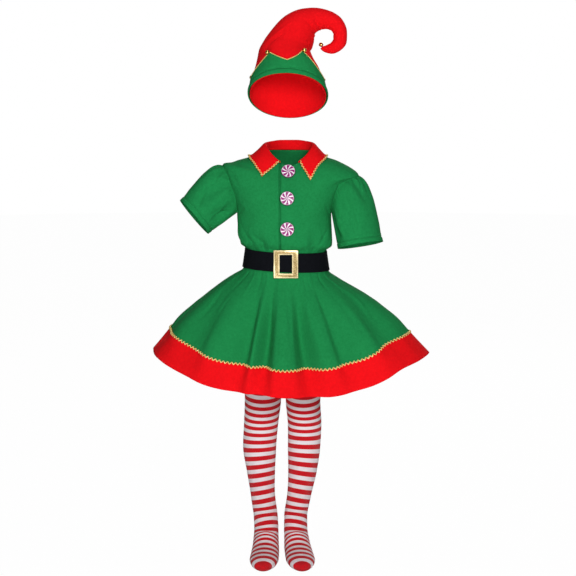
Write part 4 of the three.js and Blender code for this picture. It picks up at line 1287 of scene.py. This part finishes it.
# The opening is a little taller than an even inset leaves it.
opening_height = BUCKLE["height"] - (BUCKLE["width"] - BUCKLE["hole_width"])
bpy.ops.transform.resize(value=(1, 1, BUCKLE["hole_height"] / opening_height), center_override=(0, 0, 0))
bpy.ops.mesh.delete(type="FACE")
bpy.ops.mesh.select_all(action="SELECT")
thickness = (BUCKLE["plate"] + BUCKLE["bead"]) * MM
bpy.ops.mesh.extrude_region_move(TRANSFORM_OT_translate={"value": (0, -thickness, 0)})
select_faces(buckle, lambda f: abs(f.normal.y) > 0.9 and f.calc_center_median().y < -thickness / 2)
bpy.ops.mesh.inset(thickness=BORDER * MM)
bpy.ops.transform.translate(value=(0, BUCKLE["bead"] * MM, 0))
bpy.ops.mesh.select_all(action="SELECT")
bpy.ops.mesh.normals_make_consistent(inside=False)
bpy.ops.object.mode_set(mode="OBJECT")
soften(buckle, 0.7, 3, sharp=35)
# The frame leans with the belt's front, just clear of it.
tilt = float(np.arctan2(BELT["deepens"], BELT["top"] - BELT["bottom"]))
shift = np.tan(tilt) * ((BELT["top"] + BELT["bottom"]) / 2 - BUCKLE["z"])
seat = BELT["depth"] + BELT["wall"] + BELT["deepens"] / 2 + SEAM + shift
buckle.rotation_euler = (-tilt, 0, 0)
buckle.location = (BUCKLE["x"] * MM, -seat * MM, BUCKLE["z"] * MM)
bpy.ops.object.transform_apply()
dress(buckle, "belt_buckle", gold_glitter)

# %% [markdown]
# ## Buttons
#
# The three big buttons look like peppermint sweets: a domed white disc with eight curved magenta
# rays and a dark rim. One is turned from a cylinder whose rims are bevelled and whose face is pushed
# out into a dome. The swirl isn't cut. It is a pattern in the finish, read from the button's UV map.

# %% One button, copied three times
RADIUS, THICKNESS = 16.5, 4.6
DOME = [(1.4, -0.45), (1.6, 0.12), (3, 0.2), (4, 0.15)]  # steps inwards, and how far each one rises
BUTTONS = [  # name, x, z and the length of the shank
    ("button_top", 0.5, -33, 0.6), ("button_middle", -2, -92.5, 0.1), ("button_bottom", -2, -162, 0.1)
]

bpy.ops.object.select_all(action="DESELECT")
bpy.ops.mesh.primitive_cylinder_add(
    vertices=64, radius=RADIUS * MM, depth=THICKNESS * MM, location=(0, 0, THICKNESS / 2 * MM)
)
sweet = bpy.context.object
bpy.ops.object.transform_apply()
soften(sweet, 1.3, 4, sharp=40)
bpy.ops.object.mode_set(mode="EDIT")
bpy.ops.mesh.select_all(action="DESELECT")
select_faces(sweet, lambda f: f.normal.z > 0.9 and len(f.verts) > 8)
for inset, rise in DOME:
    bpy.ops.mesh.inset(thickness=inset * MM)
    bpy.ops.transform.translate(value=(0, 0, rise * MM))
bpy.ops.mesh.poke()
bpy.ops.object.mode_set(mode="OBJECT")
face_map = sweet.data.uv_layers.active
face_map.name = "face"
for corner in sweet.data.loops:
    face_map.data[corner.index].uv = sweet.data.vertices[corner.vertex_index].co.xy
bpy.ops.object.shade_smooth_by_angle(angle=np.radians(40))


def copy_to(piece, name, place, up):
    """A copy of the piece at this place, with its own Z axis turned up this way."""
    only(piece)
    bpy.ops.object.duplicate()
    copy = bpy.context.object
    copy.name = copy.data.name = name
    copy.rotation_mode = "QUATERNION"
    copy.rotation_quaternion = Vector(up).to_track_quat("Z", "Y")
    copy.location = Vector(place) * MM
    bpy.ops.object.transform_apply()
    return copy


rows = np.linspace(0, NECK, 2001)
for name, x, z, shank in BUTTONS:
    row = np.interp(z, body(0.0, rows)[:, 2], rows)
    angle = lap_angle(x, row)
    out = outward(body, angle, row)
    button = copy_to(sweet, name + "_sweet", body(angle, row) + out * (SEAM + shank), out)
    dress(button, name, peppermint)
bpy.data.objects.remove(sweet)

# %% [markdown]
# ## Gold braid
#
# Narrow metallic braid covers the seam of the hem band and edges the collar, and a thinner one edges
# the hat's cuff. The wide braids are one thick strand laid in a zigzag, and the thin one is plaited
# from two. Each strand is a curve that swings from side to side, with a round bevel.

# %% Plait strands along a line on the cloth
def plait(name, node, line, out, width, radius, period, strands=1, closed=True):
    walked = lengths(line, 0)
    at = np.linspace(0, walked[-1], round(walked[-1] / period * 8) + 1)
    place, out = (
        np.stack([np.interp(at, walked, path[:, axis]) for axis in range(3)], -1) for path in (line, out)
    )
    out /= np.linalg.norm(out, axis=1, keepdims=True)
    side = np.cross(out, np.gradient(place, axis=0))
    side /= np.linalg.norm(side, axis=1, keepdims=True)
    curve = bpy.data.curves.new(name, "CURVE")
    curve.dimensions = "3D"
    curve.bevel_depth, curve.bevel_resolution = radius * MM, 1
    for k in range(strands):
        phase = 2 * np.pi * (at / at[-1] * round(at[-1] / period) + k / strands)
        # The first two waves of a zigzag, which leave its corners a little round.
        swing = (width / 2 - radius) * (np.sin(phase) - np.sin(3 * phase) / 9) * 0.9
        lift = radius * (1 + 0.55 * np.cos(2 * phase))
        points = (place + side * swing[:, None] + out * lift[:, None]) * MM
        points = points[:-1] if closed else points
        spline = curve.splines.new("POLY")
        spline.points.add(len(points) - 1)
        spline.points.foreach_set("co", np.c_[points, np.ones(len(points))].ravel())
        spline.use_cyclic_u = closed
    piece = bpy.data.objects.new(name, curve)
    bpy.context.collection.objects.link(piece)
    only(piece)
    bpy.ops.object.convert(target="MESH")
    bpy.ops.object.shade_smooth()
    dress(piece, node, gold_thread)
    print(f"  cord {walked[-1]:.0f} mm along the edge")


# %% Braid over the band seam of the skirt
angles = np.linspace(0, 360, 1441)
ups = BAND_PART + SEAM_PART / 2 + 0 * angles
seam_grid = skirt_up(angles[None, :], ups[None, :] + np.array([[-0.01], [0], [0.01]]))
seam_out = facing(crease(seam_grid, skirt_up, SKIRT_CREASES), ring=True)[1]
seam_line = seam_grid[1] + seam_out * 0.1
plait("skirt_plait", "skirt_braid", seam_line, seam_out, width=8, radius=1.2, period=9.5)

# %% Braid round the collar
def collar_line():
    parts = np.linspace(0.5, 0.985, 40)
    start, end = COLLAR_FRONT + 1.2, 360 - COLLAR_FRONT - 1.2
    edge_angles = np.linspace(start, end, 420)[1:-1]
    down = collar_grid(np.array([start - 0.4, start, start + 0.4]), parts)
    up = collar_grid(np.array([end - 0.4, end, end + 0.4]), parts[::-1])
    edge = collar_grid(edge_angles, np.array([0.975, 0.985, 0.995]))
    line = np.concatenate([down[:, 1], edge[1], up[:, 1]])
    # The way up of the profile is the far side on the fall, so its normal is turned round.
    out = -np.concatenate([facing(down)[:, 1], facing(edge)[1], -facing(up)[:, 1]])
    return line, out


line, out = collar_line()
line = line + out * (COLLAR_WALL / 2 + 0.45)
plait("collar_plait", "collar_braid", line, out, width=6, radius=0.95, period=7.5, closed=False)

# %% Thin braid along the points of the hat's cuff
angles = np.linspace(0, 360, 1081)
tops = cuff_height(angles)[None, :] - 1.4
edge_line = on_cuff(angles, tops, CUFF_OFF + CUFF_WALL + 0.1)[0]
edge_out = outward(hat, angles, hat_row(angles, tops)[0])
plait("cuff_plait", "hat_piping", edge_line, edge_out, width=2.4, radius=0.5, period=5.5, strands=2)

# %% [markdown]
# ## Bells
#
# A small gold bell is sewn to each point of the cuff and one to the tip of the curl. A real one is
# pressed from two cups, with a raised seam round its middle, a wire loop on top and a cross-shaped
# slot below that lets the sound out. One is made from a sphere and a torus and copied six times.

# %% One bell
BELL = 5.4  # radius at its raised seam
CUP = BELL - 0.25  # radius of the two cups
SLOT, SLOT_DEPTH = 0.42, 0.9  # half the width of the cross-shaped slot, and its depth
SLOT_TOP = -1.6  # height of its upper ends
bpy.ops.object.select_all(action="DESELECT")
bpy.ops.mesh.primitive_uv_sphere_add(segments=32, ring_count=24, radius=CUP * MM)
ball = bpy.context.object
bpy.ops.object.mode_set(mode="EDIT")
select_faces(ball, lambda f: abs(f.calc_center_median().z) < 0.9 * MM)
bpy.ops.mesh.extrude_region_shrink_fatten(TRANSFORM_OT_shrink_fatten={"value": 0.3 * MM})


def in_slot(face):
    c = face.calc_center_median()
    near, far = sorted((abs(c.x), abs(c.y)))
    return c.z < SLOT_TOP * MM and near < SLOT * MM and far > 0.1 * MM


select_faces(ball, in_slot)
bpy.ops.mesh.extrude_region_shrink_fatten(TRANSFORM_OT_shrink_fatten={"value": -SLOT_DEPTH * MM})
bpy.ops.object.mode_set(mode="OBJECT")
bpy.ops.object.shade_smooth_by_angle(angle=np.radians(40))
bpy.ops.object.select_all(action="DESELECT")
bpy.ops.mesh.primitive_torus_add(
    major_segments=16, minor_segments=8, major_radius=1.3 * MM, minor_radius=0.35 * MM,
    location=(0, 0, (BELL + 0.1) * MM), rotation=(np.pi / 2, 0, 0),
)
bpy.ops.object.shade_smooth()
ball.select_set(True)
bpy.context.view_layer.objects.active = ball
bpy.ops.object.join()
print("bell faces", len(ball.data.polygons))


def hang_bell(which, middle, up):
    dress(copy_to(ball, f"bell_{which}", middle, up), f"hat_bell_{which}", bell_brass)


off = CUFF_OFF + CUFF_WALL + 2 * SEAM + 1 + BELL
for i, (angle, height) in enumerate(CUFF_POINTS):
    middle = on_cuff(np.array([float(angle)]), np.array([[height - BELL]]), off)[0, 0]
    hang_bell(i + 1, middle, (0.1, -0.5 * cosine(angle), -0.8))
hang_bell("tip", hat(0.0, 17.0) + np.array([-0.8, 4.2, BELL + 1]), (0.3, 0, -0.95))
bpy.data.objects.remove(ball)

# %% [markdown]
# ## Striped stockings
#
# Each stocking is one knitted tube, closed at the toe. Knit stretches, so it follows the leg closely,
# with soft wrinkles only behind the knee and at the ankle. The stripes are knitted in as rings of
# even height, but they sag at the front of the knee and climb over the instep. The map's V
# coordinate therefore carries the height along the tube with those sags added.

# %% Sections of the stockings
STOCKINGS = table("""
y z pitch right_x right_wide right_deep left_x left_wide left_deep
0 -456 0 -58 45 50 37 44 49
0 -520 0 -58.5 44 48 36.5 42.5 47
-1 -578 0 -59.5 43 45 35.7 41 44
-3 -637 0 -64 40.5 42 39.5 39.8 42  # knee
4 -695 0 -67.5 39.3 41.5 38.2 38.4 41  # calf
7 -753 0 -64.5 33.5 36.5 34.6 34 37
8 -812 0 -59.8 29 31.5 26.5 28.8 31.5
8 -862 0 -53.5 28.8 31 18.5 27.6 30.5  # ankle
8 -892 14 -52 29 36 18.5 28 36
2 -915 36 -52.5 30 44 20.5 29.5 44  # heel
-22 -928.8 60 -53 31.5 36 22.5 31.5 36
-52 -936 84 -54 33 24 25.5 33 24
-86 -941 90 -56 34 19 29 34 19  # ball of the foot
-114 -944 92 -57 29 16 31.5 29 16
-130 -946.5 95 -58 18 11 33 18 11
-137 -947.5 95 -58 6 4.5 33.5 6 4.5  # toe
""")
TOP_ROW = 15  # rows are counted from the top, places on a stocking from the toe up
KNIT = 1.5  # wall
TOE_CAP = 4.5  # the toe is knitted in one colour up to here
RIBS = 240  # round a stocking


def stocking(side, angle, up):
    angle, up = np.broadcast_arrays(np.asarray(angle, float), np.asarray(up, float))
    x, wide, deep, y, z, pitch = (
        read(STOCKINGS, column, TOP_ROW - up)
        for column in (side + "_x", side + "_wide", side + "_deep", "y", "z", "pitch")
    )
    forward = deep * cosine(angle)
    return xyz(x + wide * sine(angle), y - forward * cosine(pitch), z + forward * sine(pitch))


# Behind the knee and round the ankle.
STOCKING_CREASES = crease_table("""
150 11.9 210 12 0 4 -1.2 0
140 12.4 200 12.5 0 4 -0.9 0
160 12.15 222 12.25 0 4 0.8 0
-40 7.3 30 7.2 0 4 -1 0
-60 6.9 10 6.8 0 4 0.7 0
-20 6.5 50 6.4 0 4 -0.9 0
120 7.1 170 7 0 4 -0.8 0
190 7.3 240 7.1 0 4 -0.8 0
""")

# The knit is pressed together above the knee and stretched over the calf. At each of these depths
# below the shoulders the stripes have moved this far.
SHIFTS = table("""
right_at right_by left_at left_by
560 0 560 11
600 6.5 590 15
640 9.5 625 21.5
670 8.5 655 22
710 5.6 690 15.5
750 3 730 11
800 -1.5 780 4
840 -5 820 -1
880 -8 880 -4
930 0 930 0
""")
KNEE, KNEE_REACH, KNEE_SAG = 588, 75, 11
INSTEP, INSTEP_REACH, INSTEP_RISE = 872, 45, 14
SHIN_RISE = 5


def sag(angle, depth, tilt):
    """How far a stripe lies below its even height. Depth is counted from the shoulders down."""
    front, side = cosine(angle), sine(angle)
    knee = KNEE_SAG * swell((depth - KNEE) / KNEE_REACH)
    shin = SHIN_RISE * ease(depth, 640, 700) * (1 - ease(depth, 840, 880))
    instep = INSTEP_RISE * swell((depth - INSTEP) / INSTEP_REACH)
    leaning = tilt * (ease(depth, 640, 760) - ease(depth, 880, 920))
    return (knee - shin - instep) * front + leaning * side


def stocking_piece(side, tilt):
    angles = np.linspace(180, 540, 85)[None, :]  # the back holds the place where the map's ends meet
    ups = np.concatenate([np.linspace(0, 6, 50)[:-1], np.linspace(6, TOP_ROW, 92)])[:, None]
    points = stocking(side, angles, ups)
    angles = np.broadcast_to(angles, points.shape[:2])
    points = crease(points, lambda u, v: stocking(side, u % 360, v), STOCKING_CREASES, ring=True)
    middle = xyz(*(read(STOCKINGS, column, TOP_ROW - ups) for column in (side + "_x", "y", "z")))
    depth = -middle[..., 2]
    moved = np.interp(depth, SHIFTS[side + "_at"], SHIFTS[side + "_by"])
    stripes = np.maximum(lengths(middle, 0) + sag(angles, depth, tilt) - moved, TOE_CAP)
    ribs = (angles - 180) / 360 * RIBS + 0 * stripes
    piece = lay(side + "_stocking", points, across=ribs, up=stripes, ring=True)
    close_toe(piece)
    cloth(piece, KNIT, "stocking_" + side, striped_knit, (0.26, 0.70))


def close_toe(piece):
    only(piece)
    bpy.ops.object.mode_set(mode="EDIT")
    mesh = bmesh.from_edit_mesh(piece.data)
    for edge in mesh.edges:
        edge.select = edge.is_boundary and edge.verts[0].co.z < STOCKINGS["z"].mean() * MM
    bmesh.update_edit_mesh(piece.data)
    bpy.ops.mesh.edge_face_add()
    bpy.ops.mesh.poke()
    bpy.ops.object.mode_set(mode="OBJECT")


stocking_piece("right", -5)
stocking_piece("left", 4.6)

# %% [markdown]
# ## Floor, light and camera
#
# The costume stands in a plain, bright studio: a pale floor, a pale surround and large soft lamps, the
# strongest one in front, close to the camera, so that the folds turn darker at their sides.

# %% Floor and surround
bpy.ops.object.select_all(action="DESELECT")
FLOOR = -0.9625  # just below the toes
bpy.ops.mesh.primitive_circle_add(vertices=64, radius=9, fill_type="NGON", location=(0, 0, FLOOR))
floor = bpy.context.object
floor.name = floor.data.name = "studio_floor"
floor.data.materials.append(pale_floor)
floor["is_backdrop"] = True

world = bpy.data.worlds.new("studio")
bpy.context.scene.world = world
world.use_nodes = True
tree = world.node_tree
tree.nodes.clear()
seen = add(tree, "ShaderNodeBackground", {"Color": (1, 1, 1, 1), "Strength": 1.0})
light = add(tree, "ShaderNodeBackground", {"Color": (1, 1, 1, 1), "Strength": 0.09})
is_camera = add(tree, "ShaderNodeLightPath").outputs["Is Camera Ray"]
both = add(tree, "ShaderNodeMixShader", {0: is_camera, 1: light.outputs[0], 2: seen.outputs[0]})
add(tree, "ShaderNodeOutputWorld", {"Surface": both.outputs[0]})


# %% Soft lamps
def lamp(name, place, aim, size, power):
    data = bpy.data.lights.new(name, "AREA")
    data.shape, data.size, data.energy = "DISK", size, power
    soft = bpy.data.objects.new(name, data)
    soft.location = place
    soft.rotation_euler = (Vector(aim) - Vector(place)).to_track_quat("-Z", "Y").to_euler()
    bpy.context.collection.objects.link(soft)


# Name, place, aim, size in metres and power in watts.
lamp("key", (0.5, -3.4, 0.9), (0, 0, -0.3), 1.0, 82)
lamp("fill", (-0.8, -3.0, -0.62), (0, 0, -0.85), 0.8, 26)
lamp("top", (0, -0.2, 2.6), (0, 0, -0.3), 1.6, 12)
lamp("rear", (0.6, 2.8, 1.2), (0, 0, -0.3), 2.0, 40)

# %% Camera at the photograph's angle
camera = bpy.data.objects.new("camera", bpy.data.cameras.new("camera"))
bpy.context.collection.objects.link(camera)
camera.location = (0, -4.0, 0.24)
camera.rotation_euler = (Vector((0, 0, -0.31)) - camera.location).to_track_quat("-Z", "Y").to_euler()
camera.data.lens, camera.data.sensor_width = 107.38, 36  # a long lens, as in a catalogue
camera.data.clip_end = 50
bpy.context.scene.camera = camera
bpy.context.scene.view_settings.view_transform = "Standard"

# %% [markdown]
# ## Check the size
#
# The dressed model has to stay inside the CAD model's box, apart from the little that cloth stands proud,
# so both boxes are compared and how far each side stands proud is printed.

# %% Sizes, and the last checks
seen_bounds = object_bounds()
for side in range(3):
    grown = cad_bounds[0][side] - seen_bounds[0][side], seen_bounds[1][side] - cad_bounds[1][side]
    print("xyz"[side], "stands proud by", [round(g / MM, 1) for g in grown], "mm")
